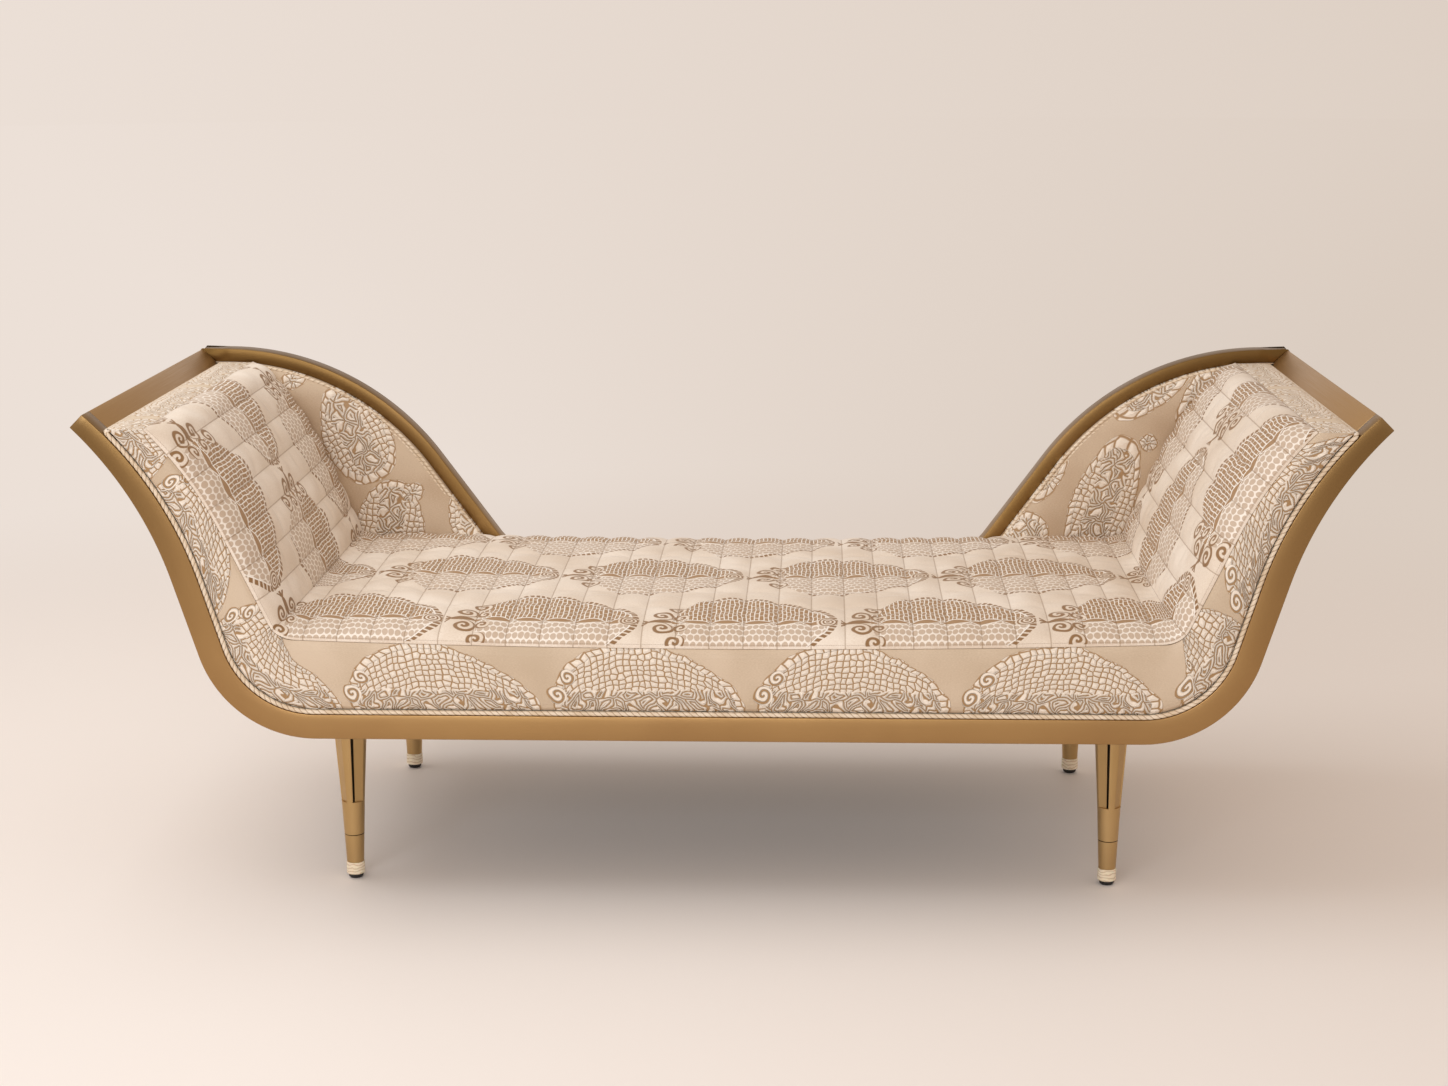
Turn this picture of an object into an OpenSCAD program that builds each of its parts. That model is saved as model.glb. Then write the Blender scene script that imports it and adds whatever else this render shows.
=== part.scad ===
// A recamier: a long low settee with two outswept arms, an open middle back and two
// shaped wings. Flat boards in a brushed bronze-gold finish frame the upholstery at the
// front and the back, and four fluted legs stand on screw-in glides.
// Millimetres, +Z up, the front faces -Y. The origin is on the floor below the middle.
// Left and right are as seen from the front.

/* [Overall] */
// Length from arm tip to arm tip
sofa_l = 2100; // [1900:10:2300]
// Depth over the front and the back boards
sofa_d = 806; // [740:2:880]
// Height of the frame's underside above the floor
frame_z = 275.5; // [240:0.5:320]

/* [Frame boards] */
// Face width of a board
board_w = 41; // [36:1:46]
// Thickness of a board, front to back
board_t = 40; // [34:1:46]
// Outer radius of the frame's lower corners
corner_r = 195; // [180:5:210]
// Lean of an arm's straight stretch from upright, in degrees
arm_lean = 17; // [14:1:19]
// Length of that straight stretch
arm_straight = 136; // [120:1:150]
// Radius of the flare above it
flare_r = 600; // [560:10:660]
// Lean of the arm at its tip, in degrees
tip_lean = 45; // [43:1:47]
// Drop from the outer tip to the underside of an end rail
end_rail_drop = 26; // [20:1:32]

/* [Back crest] */
// Face width of the arches and of the crest rail
arch_w = 24.5; // [22:0.5:28]
// Level stretch of an arch beside the arm tip
arch_flat = 44; // [40:1:60]
// Outer radius of an arch
arch_r = 500; // [460:10:540]
// Slope at which an arch runs down behind the seat, in degrees
arch_slope = 54; // [52:1:58]
// Radius where an arch turns into the crest rail
crest_r = 60; // [50:1:80]
// Drop from the seat's seam to the top of the crest rail
crest_drop = 3.5; // [2:0.5:8]

/* [Upholstery] */
// Height of the seat's front seam at the middle
seam_z = 430.5; // [415:0.5:445]
// Rise of that seam towards the arms
seam_rise = 11; // [4:1:16]
// Radius of the seam's inner corners
seam_corner_r = 45; // [42:1:60]
// Lean of the seam where it starts up an arm, in degrees
seam_lean = 25; // [22:1:28]
// Level thickness of a padded arm, from its outside to its seam
arm_pad = 113; // [100:1:125]
// Height of the quilt's crown above its seams
crown_h = 36; // [24:1:40]
// Width of a quilted channel
channel_w = 55; // [45:1:70]
// Depth of the groove between two channels
channel_depth = 5; // [2:0.5:8]
// Thickness of the quilt where it is sewn
quilt_edge = 3; // [2:0.5:4]
// Thickness of the padded front boxing
boxing_t = 12; // [8:1:16]
// Setback of the front boxing from the boards' face
boxing_back = 3; // [1:0.5:6]
// Thickness of the boxing on an arm's end
end_boxing_t = 4; // [3:0.5:6]
// How far the wing pads stand in front of the back boards
pad_proud = 8; // [5:1:14]
// Diameter of the single welt cord
welt_d = 8; // [6:0.5:9]
// Diameter of one cord of the double back welt
back_welt_d = 6; // [5:0.5:6.5]
// Bend radius of the welt cord at an arm's tip
welt_turn_r = 7.5; // [7:0.5:10]

/* [Inner frame] */
// Thickness of a seat rail, front to back
rail_t = 38; // [30:1:45]
// Width of a middle cross rail
cross_w = 38; // [30:1:50]
// Width of an end cross rail, which the legs bolt to
end_cross_w = 76; // [74:1:90]
// Distance between the middle cross rails
cross_pitch = 320; // [290:5:330]
// Side of a corner block
block_l = 70; // [50:1:90]
// Thickness of the bent plywood in an arm
shell_t = 12; // [9:1:15]
// Thickness of the plywood in the back
panel_t = 8; // [6:1:10]
// Thickness of a covered outside skin
skin_t = 4; // [3:0.5:5]
// Setback of an outside arm skin from the boards' edge
arm_skin_back = 3; // [2:0.5:5]
// Setback of the outside back skin from the boards' face
back_skin_back = 7; // [4:0.5:10]
// Width of a webbing strap
web_w = 60; // [50:1:75]
// Distance between webbing straps
web_pitch = 110; // [100:1:115]
// Thickness of the webbing, and of the deck cloth on it
web_t = 2; // [1.5:0.5:3]
// Thickness of the dust cover under the seat
dust_t = 1; // [0.5:0.5:1.5]

/* [Legs] */
// Leg axis inward from the end of the straight bottom rail
leg_in_x = 37.5; // [36:0.5:40]
// Leg axis behind the boards' face
leg_in_y = 100; // [90:1:130]
// Diameter of a leg at its top
leg_top_d = 56; // [50:1:60]
// Diameter of a leg where its flutes end
leg_flute_d = 39; // [36:1:44]
// Height at which the flutes end
flute_z = 129; // [110:1:150]
// Depth of a flute
flute_depth = 3; // [2:0.5:4]
// Width of the slot beside a flute
slot_w = 3.2; // [2:0.1:4]
// Height of the ring groove
ring_z = 74; // [60:1:90]
// Width of the ring groove
ring_w = 1.6; // [1:0.1:2.5]
// Diameter of a leg just above its ferrule
leg_foot_d = 29; // [26:0.5:32]
// Diameter of a ferrule
ferrule_d = 31; // [28:0.5:34]
// Height of a ferrule
ferrule_h = 21; // [16:1:26]
// Diameter of a glide's foot
glide_d = 25; // [22:0.5:27]
// Height of a glide's foot
glide_h = 8; // [6:0.5:10]
// Length of a glide's screw above its foot
glide_screw_l = 46; // [36:1:52]
// Side of the square plate on a leg
plate_l = 70; // [60:1:72]
// Thickness of that plate
plate_t = 2; // [1.5:0.5:2.5]

/* [Fasteners] */
// Diameter of the leg bolts and of the glides' screws
bolt_d = 8; // [6:1:10]
// Diameter of the frame bolts
frame_bolt_d = 7; // [5:0.5:8]
// Diameter of a frame bolt's head
head_d = 13; // [11:0.5:16]
// Thickness of a frame bolt's head
head_t = 4; // [3:0.5:5]
// Depth that a frame bolt runs into its board
bolt_bite = 22; // [15:1:26]
// Distance of an outer frame bolt from its corner block
bolt_in = 48; // [20:1:60]
// Depth that a leg bolt runs into its leg
leg_bite = 40; // [30:1:60]
// Depth that a leg bolt runs into the rail above it
rail_bite = 34; // [25:1:36]

/* [Hidden] */

// Finishes
gold = [0.66, 0.51, 0.31];
ivory = [0.90, 0.85, 0.74];
satin = [0.84, 0.76, 0.66];
tan_satin = [0.74, 0.64, 0.51];
foam_white = [0.93, 0.91, 0.82];
beech = [0.78, 0.62, 0.43];
black = [0.10, 0.10, 0.10];
steel = [0.62, 0.63, 0.65];
jute = [0.60, 0.50, 0.34];

// Smoothness: steps along each curve, sides of each cord, facets of round parts and bolts
corner_steps = 18;
flare_steps = 10;
arch_steps = 16;
crest_steps = 6;
turn_steps = 4;
welt_sides = 8;
back_welt_sides = 6;
round_fn = 32;
bolt_fn = 24;

// Clearances: a cord beside its neighbours, a bolt in its bore, the cover round a plate,
// and the overrun of every cut
cord_gap = 0.15;
bore_gap = 0.1;
screw_gap = 0.05;
cover_gap = 1;
over = 1;

// Places across the depth
front_y = -sofa_d / 2;
front_in_y = front_y + board_t;
box_y = front_y + boxing_back;
foam_y = box_y + boxing_t;
back_y = sofa_d / 2;
back_in_y = back_y - board_t;
pad_y = back_in_y - pad_proud;
back_skin_y = back_y - back_skin_back;
panel_y = back_skin_y - skin_t;
wing_y = panel_y - panel_t;

// Lines of a frame board, in the plane of its face. The outer line turns the lower
// corner, leans straight up and flares out. Further in, the flare keeps its radius and
// shifts level, so the board narrows towards its tip.
function on_circle(c, r, a) = [c[0] + r * cos(a), c[1] + r * sin(a)];
function arc(c, r, a0, a1, n) = [for (i = [0:n]) on_circle(c, r, a0 + (a1 - a0) * i / n)];
function turned(pts) = [for (i = [len(pts) - 1:-1:0]) pts[i]];
function flipped(pts) = [for (p = turned(pts)) [-p[0], p[1]]];
function degrees_of(arc_l, r) = arc_l / r * 180 / PI;
function length_of(a, r) = r * a * PI / 180;

flare_run = flare_r * (cos(arm_lean) - cos(tip_lean));
corner_x = sofa_l / 2 - corner_r * cos(arm_lean) - arm_straight * sin(arm_lean) - flare_run;
corner_c = [corner_x, frame_z + corner_r];
flare_c = [
  corner_x + (corner_r + flare_r) * cos(arm_lean) + arm_straight * sin(arm_lean),
  corner_c[1] - (corner_r + flare_r) * sin(arm_lean) + arm_straight * cos(arm_lean)
];
board_shift = board_w / cos(arm_lean);
tip_cut = tip_lean + asin(board_shift * sin(tip_lean) / flare_r);
tip_outer = on_circle(flare_c, flare_r, 180 - tip_lean);
tip_inner = on_circle([flare_c[0] - board_shift, flare_c[1]], flare_r, 180 - tip_cut);
end_rail_z = tip_outer[1] - end_rail_drop;
arm_top_z = tip_inner[1] - arch_w;
rail_top = frame_z + board_w;

// The lean at which a flare line reaches a height, and the leans from the straight
// stretch up to there
function lean_at(z, off) = asin((z - flare_c[1]) / (flare_r + off));
function leans_to(z, off) =
  [for (i = [0:flare_steps]) arm_lean + (lean_at(z, off) - arm_lean) * i / flare_steps];
function flare_line(shift, off, leans) =
  [for (a = leans) on_circle([flare_c[0] - shift, flare_c[1]], flare_r + off, 180 - a)];
function side_line(shift, off, leans) = concat(
  arc(corner_c, corner_r - shift * cos(arm_lean) - off, -90, -arm_lean, corner_steps),
  flare_line(shift, off, leans)
);
board_leans = concat(leans_to(end_rail_z, 0), [lean_at(arm_top_z, 0)]);
outer_edge = side_line(0, 0, concat(leans_to(end_rail_z, 0), [tip_lean]));
inner_edge = side_line(board_shift, 0, board_leans);

// Line of an arch and its turn into the crest rail, off inside its outer edge
crest_z = seam_z - crest_drop;
arch_c = [tip_inner[0] - arch_flat, tip_inner[1] - arch_r];
arch_end = on_circle(arch_c, arch_r, 90 + arch_slope);
crest_start_z = crest_z + crest_r * (1 - cos(arch_slope));
crest_start_x = arch_end[0] - (arch_end[1] - crest_start_z) / tan(arch_slope);
crest_c = [crest_start_x - crest_r * sin(arch_slope), crest_z + crest_r];
function arch_line(off) = concat(
  arc(arch_c, arch_r - off, 90, 90 + arch_slope, arch_steps),
  arc(crest_c, crest_r + off, arch_slope - 90, -90, crest_steps)
);
back_opening = concat(inner_edge, arch_line(arch_w));

// The quilt's seam: along the seat, round the inner corner, up the arm and out along
// the flare. Its length is measured from the middle of the seat.
seam_turn = 90 - seam_lean;
knee_z = seam_z + seam_rise;
seam_flare_c = [flare_c[0] - arm_pad, flare_c[1]];
seam_flare = on_circle(seam_flare_c, flare_r, 180 - seam_lean);
knee_end_z = knee_z + seam_corner_r * (1 - cos(seam_turn));
knee_end_x = seam_flare[0] - (seam_flare[1] - knee_end_z) * tan(seam_lean);
knee_end = [knee_end_x, knee_end_z];
knee_x = knee_end_x - seam_corner_r * sin(seam_turn);
knee_c = [knee_x, knee_z + seam_corner_r];
knee_l = knee_x + length_of(seam_turn, seam_corner_r);
slope_l = knee_l + norm(seam_flare - knee_end);
seam_l = slope_l + length_of(lean_at(arm_top_z, 0) - seam_lean, flare_r);

function seam_lean_at(s) =
  s < knee_x ? 90
  : s < knee_l ? 90 - degrees_of(s - knee_x, seam_corner_r)
  : s < slope_l ? seam_lean
  : seam_lean + degrees_of(s - slope_l, flare_r);
function half_seam(s) =
  s < knee_x ? [s, seam_z + seam_rise * pow(s / knee_x, 2)]
  : s < knee_l ? on_circle(knee_c, seam_corner_r, -seam_lean_at(s))
  : s < slope_l ? knee_end + (s - knee_l) * [sin(seam_lean), cos(seam_lean)]
  : on_circle(seam_flare_c, flare_r, 180 - seam_lean_at(s));
function mirrored(p, side) = [side * p[0], p[1]];
function side_of(s) = s < 0 ? -1 : 1;
function seam_at(s) = mirrored(half_seam(abs(s)), side_of(s));
function seam_normal(s) =
  mirrored([-cos(seam_lean_at(abs(s))), sin(seam_lean_at(abs(s)))], side_of(s));

// Channels across the quilt, each with a groove and two shoulders
channels = round(2 * seam_l / channel_w);
column_steps = 3;
columns = channels * column_steps;
function column_s(i) = seam_l * (2 * i / columns - 1);
seam_line = [for (i = [0:columns]) seam_at(column_s(i))];
seat_seam = [for (p = seam_line) if (abs(p[0]) < corner_x) p];
arm_seam = [for (i = [0:columns]) if (column_s(i) > 0 && seam_line[i][0] > corner_x) seam_line[i]];
seat_seam_end = half_seam(corner_x);
arm_seam_top = arm_seam[len(arm_seam) - 1];
arm_seam_next = arm_seam[len(arm_seam) - 2];
foam_top_z = arm_top_z - end_boxing_t;
foam_top = arm_seam_top
  + (arm_seam_next - arm_seam_top) * end_boxing_t / (arm_seam_top[1] - arm_seam_next[1]);
arm_seam_low = [for (i = [0:len(arm_seam) - 2]) arm_seam[i]];

// The quilt's crown across the depth: places from front to back, as shares of half the
// quilt's depth, and a fall towards the seams that is slow at first and then steep
row_shares = [-1, -0.93, -0.75, 0, 0.75, 0.93, 1];
fall_share = 4.5;
corner_ease_share = 0.3;
corner_ease_l = 150;
quilt_mid_y = (box_y + pad_y) / 2;
quilt_half_d = (pad_y - box_y) / 2;
function crown_share(u) = sqrt(1 - pow(abs(u), fall_share));
function ease_share(s) =
  1 - corner_ease_share * max(0, 1 - abs(abs(s) - (knee_x + knee_l) / 2) / corner_ease_l);
function groove_share(i) = i % column_steps == 0 ? 1 : 0;
function is_end(i) = i == 0 || i == columns;
function quilt_h(i, u) = is_end(i) ? quilt_edge
  : quilt_edge + crown_share(u) * (crown_h * ease_share(column_s(i)) - channel_depth * groove_share(i));

// The welt cord: along the front board's inner edge, round the arm's tip and back along
// the end rail. Each place on it has a centre and two directions across the cord.
welt_off = welt_d / 2 + cord_gap;
welt_room = 2 * welt_off;
welt_y = front_y + welt_d / 2;
welt_turn_lean = lean_at(arm_top_z - welt_d / 2, welt_off) - degrees_of(welt_turn_r, flare_r);
welt_leans = [for (i = [0:flare_steps]) arm_lean + (welt_turn_lean - arm_lean) * i / flare_steps];
function across(lean) = [-cos(lean), 0, sin(lean)];
function along(lean) = [sin(lean), 0, cos(lean)];
function upright(p, y) = [p[0], y, p[1]];
welt_turn_start = upright(flare_line(board_shift, welt_off, [welt_turn_lean])[0], welt_y);
welt_corner_r = corner_r - board_w - welt_off;
welt_half = concat(
  [for (i = [0:corner_steps]) let (a = 90 - (90 - arm_lean) * i / corner_steps)
    [upright(on_circle(corner_c, welt_corner_r, -a), welt_y), across(a), [0, -1, 0]]],
  [for (a = welt_leans)
    [upright(flare_line(board_shift, welt_off, [a])[0], welt_y), across(a), [0, -1, 0]]],
  [for (i = [1:turn_steps]) let (t = 90 * i / turn_steps)
    [welt_turn_start + welt_turn_r * ((1 - cos(t)) * [0, 1, 0] + sin(t) * along(welt_turn_lean)),
     across(welt_turn_lean), -cos(t) * [0, 1, 0] + sin(t) * along(welt_turn_lean)]],
  [let (p = welt_turn_start + welt_turn_r * along(welt_turn_lean))
    [[p[0], pad_y, p[2]], across(welt_turn_lean), along(welt_turn_lean)]]
);
function flip_x(v) = [-v[0], v[1], v[2]];
welt_path = concat(
  [for (w = turned(welt_half)) [flip_x(w[0]), flip_x(w[1]), flip_x(w[2])]],
  welt_half
);

// The double welt inside an arch: it starts beside the quilt's corner and ends behind
// the seat. Its cords lie side by side on the wing pad.
back_welt_pitch = back_welt_d + 2 * cord_gap;
back_welt_y = pad_y - back_welt_d / 2 - cord_gap;
back_welt_start = 10.2;
back_welt_end_z = seam_z + crown_h / 2;
function back_welt_line(off) = let (
  r = arch_r - off,
  steep = on_circle(arch_c, r, 90 + arch_slope)
) concat(
  [for (i = [0:arch_steps])
    let (a = back_welt_start + (arch_slope - back_welt_start) * i / arch_steps)
    [upright(on_circle(arch_c, r, 90 + a), back_welt_y), [-sin(a), 0, cos(a)], [0, 1, 0]]],
  [[upright([steep[0] - (steep[1] - back_welt_end_z) / tan(arch_slope), back_welt_end_z], back_welt_y),
    [-sin(arch_slope), 0, cos(arch_slope)], [0, 1, 0]]]
);

// A cord of round section along a path
module cord(path, d, sides) {
  rings = len(path);
  points = [for (w = path) for (k = [0:sides - 1])
    w[0] + d / 2 * (cos(360 * k / sides) * w[1] + sin(360 * k / sides) * w[2])];
  walls = [for (i = [0:rings - 2]) for (k = [0:sides - 1])
    let (a = i * sides + k, b = i * sides + (k + 1) % sides)
    each [[a, b, a + sides], [b, b + sides, a + sides]]];
  first = [for (k = [1:sides - 2]) [0, k + 1, k]];
  last = [for (k = [1:sides - 2]) [0, k, k + 1] + (rings - 1) * sides * [1, 1, 1]];
  polyhedron(points, concat(walls, first, last));
}

// A flat outline in the plane of a board's face, between two depths
module slab(y0, y1, outline) {
  translate([0, y1, 0]) rotate([90, 0, 0]) linear_extrude(y1 - y0) polygon(outline);
}

module block(x0, x1, y0, y1, z0, z1) {
  translate([x0, y0, z0]) cube([x1 - x0, y1 - y0, z1 - z0]);
}

module left_of() { mirror([1, 0, 0]) children(); }

// Frame boards
arm_outline = concat(outer_edge, turned(concat(inner_edge, [tip_inner])));
arch_outline = concat([tip_inner], arch_line(0), turned(arch_line(arch_w)),
  [inner_edge[len(inner_edge) - 1]]);
end_rail_outline = concat(
  flare_line(0, 0, [lean_at(end_rail_z, 0), tip_lean]),
  turned(concat(flare_line(board_shift, 0, [lean_at(end_rail_z, 0), lean_at(arm_top_z, 0)]), [tip_inner]))
);

module frame_bolt_bores() {
  for (side = [-1, 1]) for (x = bolt_places)
    translate([x, side * (front_in_y - bolt_bite), frame_bolt_z])
      rotate([-side * 90, 0, 0])
        cylinder(d = frame_bolt_d + 2 * bore_gap, h = rail_t + bolt_bite + over, $fn = bolt_fn);
}

module front_rail() {
  color(gold) difference() {
    block(-corner_x, corner_x, front_y, front_in_y, frame_z, rail_top);
    frame_bolt_bores();
  }
}

module back_rail() {
  color(gold) difference() {
    block(-corner_x, corner_x, back_in_y, back_y, frame_z, rail_top);
    frame_bolt_bores();
  }
}

module front_arm() { color(gold) slab(front_y, front_in_y, arm_outline); }

module back_arm() { color(gold) slab(back_in_y, back_y, arm_outline); }

module end_rail() { color(gold) slab(front_in_y, back_in_y, end_rail_outline); }

module arch() { color(gold) slab(back_in_y, back_y, arch_outline); }

module crest_rail() {
  color(gold) block(-crest_c[0], crest_c[0], back_in_y, back_y, crest_z - arch_w, crest_z);
}

// Inner frame
rail_z = frame_z + plate_t;
frame_bolt_z = (rail_z + rail_top) / 2;
outer_bolt_x = corner_x - end_cross_w - block_l - bolt_in;
bolt_places = [-outer_bolt_x, -cross_pitch / 2, cross_pitch / 2, outer_bolt_x];
seat_rail_y = front_in_y + rail_t;
leg_x = corner_x - leg_in_x;
leg_y = front_y + leg_in_y;

module at_legs() {
  for (sx = [-1, 1]) for (sy = [-1, 1]) translate([sx * leg_x, -sy * leg_y, 0]) children();
}

module leg_bolt_bore(z, l) {
  translate([0, 0, z]) cylinder(d = bolt_d + 2 * bore_gap, h = l, $fn = bolt_fn);
}

module seat_rail_front() {
  color(beech) difference() {
    block(-corner_x, corner_x, front_in_y, seat_rail_y, rail_z, rail_top);
    frame_bolt_bores();
  }
}

module seat_rail_back() {
  color(beech) difference() {
    block(-corner_x, corner_x, -seat_rail_y, back_in_y, rail_z, rail_top);
    frame_bolt_bores();
  }
}

module end_cross_rails() {
  color(beech) difference() {
    for (side = [0, 1]) mirror([side, 0, 0])
      block(corner_x - end_cross_w, corner_x, seat_rail_y, -seat_rail_y, rail_z, rail_top);
    at_legs() leg_bolt_bore(rail_z - over, rail_bite + over);
  }
}

module middle_cross_rails() {
  color(beech) for (k = [-1:1])
    block(k * cross_pitch - cross_w / 2, k * cross_pitch + cross_w / 2,
      seat_rail_y, -seat_rail_y, rail_z, rail_top);
}

module corner_blocks() {
  color(beech) for (sx = [0, 1]) for (sy = [0, 1]) mirror([sx, 0, 0]) mirror([0, sy, 0])
    translate([corner_x - end_cross_w, seat_rail_y, rail_z])
      linear_extrude(rail_top - rail_z) polygon([[0, 0], [-block_l, 0], [0, block_l]]);
}

module frame_bolts() {
  color(steel) for (side = [0, 1]) mirror([0, side, 0]) for (x = bolt_places)
    translate([x, front_in_y - bolt_bite, frame_bolt_z]) rotate([-90, 0, 0]) {
      cylinder(d = frame_bolt_d, h = bolt_bite + rail_t, $fn = bolt_fn);
      translate([0, 0, bolt_bite + rail_t]) cylinder(d = head_d, h = head_t, $fn = bolt_fn);
    }
}

// Bent plywood and outside skins of the arms
shell_off = arm_skin_back + skin_t;
arm_in_off = shell_off + shell_t;
function arm_layer(off0, off1) = concat(
  side_line(0, off0, leans_to(end_rail_z, off0)),
  turned(side_line(0, off1, leans_to(end_rail_z, off1)))
);

module arm_shell() { color(beech) slab(front_in_y, back_in_y, arm_layer(shell_off, arm_in_off)); }

module outside_arm() {
  color(tan_satin) slab(front_in_y, back_in_y, arm_layer(arm_skin_back, shell_off));
}

module back_panel() {
  color(beech) slab(wing_y, panel_y, concat(back_opening, flipped(back_opening)));
}

module outside_back() {
  color(tan_satin) slab(panel_y, back_skin_y, concat(back_opening, flipped(back_opening)));
}

// Seat support
deck_z = rail_top + 2 * web_t;
web_count = 2 * floor((corner_x - web_w / 2) / web_pitch) + 1;

module seat_webbing() {
  color(jute) for (k = [0:web_count - 1]) let (x = (k - (web_count - 1) / 2) * web_pitch)
    block(x - web_w / 2, x + web_w / 2, front_in_y, pad_y, rail_top, rail_top + web_t);
}

module deck_cloth() {
  color(ivory) block(-corner_x, corner_x, front_in_y, pad_y, rail_top + web_t, deck_z);
}

module dust_cover() {
  color(black) difference() {
    block(-corner_x, corner_x, front_in_y, back_in_y, rail_z - dust_t, rail_z);
    at_legs() block(-plate_l / 2 - cover_gap, plate_l / 2 + cover_gap,
      -plate_l / 2 - cover_gap, plate_l / 2 + cover_gap, rail_z - dust_t - over, rail_z + over);
  }
}

// Foam
seat_foam_outline = concat(
  [[-corner_x, deck_z], [corner_x, deck_z], seat_seam_end],
  turned(seat_seam),
  [mirrored(seat_seam_end, -1)]
);
foam_end = concat(
  flare_line(board_shift, welt_room, [lean_at(end_rail_z, welt_room), lean_at(foam_top_z, welt_room)]),
  [foam_top],
  turned(arm_seam_low),
  [seat_seam_end]
);

module seat_foam() { color(foam_white) slab(foam_y, pad_y, seat_foam_outline); }

module arm_foam() {
  color(foam_white) {
    slab(front_in_y, pad_y,
      concat(side_line(0, arm_in_off, leans_to(end_rail_z, arm_in_off)), foam_end));
    slab(foam_y, front_in_y,
      concat(side_line(board_shift, 0, leans_to(end_rail_z, 0)), foam_end));
  }
}

module back_filler() {
  color(foam_white) block(-crest_c[0], crest_c[0], pad_y, wing_y, rail_top, crest_z - arch_w);
}

module wing_pad() {
  color(tan_satin) slab(pad_y, wing_y, concat(back_opening, [[crest_c[0], rail_top]]));
}

// The quilt: a grid of columns along the seam and rows across the depth, on a plain
// underside, closed by its sewn sides and its two ends
module quilted_cover() {
  rows = len(row_shares);
  tops = [for (i = [0:columns]) for (u = row_shares)
    let (p = seam_line[i] + quilt_h(i, u) * seam_normal(column_s(i)))
    upright(p, quilt_mid_y + u * quilt_half_d)];
  fronts = [for (p = seam_line) upright(p, box_y)];
  backs = [for (p = seam_line) upright(p, pad_y)];
  front_0 = len(tops);
  back_0 = front_0 + len(fronts);
  function top(i, j) = i * rows + j;
  top_faces = [for (i = [0:columns - 1]) for (j = [0:rows - 2])
    each [[top(i, j), top(i, j + 1), top(i + 1, j)],
          [top(i, j + 1), top(i + 1, j + 1), top(i + 1, j)]]];
  low_faces = [for (i = [0:columns - 1])
    each [[front_0 + i, front_0 + i + 1, back_0 + i],
          [front_0 + i + 1, back_0 + i + 1, back_0 + i]]];
  front_faces = [for (i = [0:columns - 1])
    each [[top(i, 0), top(i + 1, 0), front_0 + i],
          [top(i + 1, 0), front_0 + i + 1, front_0 + i]]];
  back_faces = [for (i = [0:columns - 1])
    each [[top(i + 1, rows - 1), top(i, rows - 1), back_0 + i + 1],
          [top(i, rows - 1), back_0 + i, back_0 + i + 1]]];
  first_end = concat([[back_0, top(0, rows - 1), front_0]],
    [for (j = [0:rows - 2]) [front_0, top(0, j + 1), top(0, j)]]);
  last_end = concat([[front_0 + columns, top(columns, rows - 1), back_0 + columns]],
    [for (j = [0:rows - 2]) [front_0 + columns, top(columns, j), top(columns, j + 1)]]);
  color(satin) polyhedron(concat(tops, fronts, backs),
    concat(top_faces, low_faces, front_faces, back_faces, first_end, last_end));
}

// Boxing: the front strip between the welt and the quilt's seam, and a level strip on
// each arm's end
box_low = side_line(board_shift, welt_room, leans_to(arm_top_z, welt_room));

module front_boxing() {
  color(tan_satin) slab(box_y, foam_y, concat(flipped(box_low), box_low, turned(seam_line)));
}

module end_boxing() {
  color(tan_satin) slab(foam_y, pad_y, concat(
    flare_line(board_shift, welt_room, [lean_at(foam_top_z, welt_room), lean_at(arm_top_z, welt_room)]),
    [arm_seam_top, foam_top]
  ));
}

// Welts
module front_welt() { color(satin) cord(welt_path, welt_d, welt_sides); }

module back_welt() {
  color(satin) for (k = [0, 1])
    cord(back_welt_line(arch_w + back_welt_pitch * (k + 1 / 2)), back_welt_d, back_welt_sides);
}

// Legs
flute_count = 4;
flute_start = 53;
slot_turn = 22;
slot_depth = 3;
groove_depth = 0.8;
foot_z = glide_h + ferrule_h;
leg_l = frame_z - foot_z;
leg_taper = atan((leg_top_d - leg_flute_d) / 2 / (frame_z - flute_z));
screw_top = glide_h + glide_screw_l;
function leg_r(z) = z > flute_z
  ? (leg_flute_d + (leg_top_d - leg_flute_d) * (z - flute_z) / (frame_z - flute_z)) / 2
  : (leg_foot_d + (leg_flute_d - leg_foot_d) * (z - foot_z) / (flute_z - foot_z)) / 2;

module flute_cut(turn, depth, width) {
  rotate([0, 0, turn]) translate([leg_r(flute_z) - depth, -width / 2, flute_z])
    rotate([0, leg_taper, 0]) cube([leg_top_d, width, leg_l]);
}

module leg() {
  color(gold) difference() {
    rotate_extrude($fn = round_fn) polygon([
      [0, foot_z], [leg_r(foot_z), foot_z],
      [leg_r(ring_z), ring_z - ring_w / 2], [leg_r(ring_z) - groove_depth, ring_z],
      [leg_r(ring_z), ring_z + ring_w / 2],
      [leg_r(flute_z), flute_z], [leg_r(frame_z), frame_z], [0, frame_z]
    ]);
    for (k = [0:flute_count - 1]) {
      flute_cut(flute_start + 360 * k / flute_count, flute_depth, leg_top_d);
      flute_cut(flute_start + slot_turn + 360 * k / flute_count, flute_depth + slot_depth, slot_w);
    }
    leg_bolt_bore(frame_z - leg_bite, leg_bite + over);
    translate([0, 0, foot_z - over])
      cylinder(d = bolt_d + 2 * screw_gap, h = screw_top - foot_z + 2 * over, $fn = bolt_fn);
  }
}

module leg_plates() {
  color(steel) at_legs() difference() {
    block(-plate_l / 2, plate_l / 2, -plate_l / 2, plate_l / 2, frame_z, rail_z);
    leg_bolt_bore(frame_z - over, plate_t + 2 * over);
  }
}

module leg_bolts() {
  color(steel) at_legs() translate([0, 0, frame_z - leg_bite])
    cylinder(d = bolt_d, h = leg_bite + plate_t + rail_bite, $fn = bolt_fn);
}

ferrule_edge = 1.5;

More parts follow.
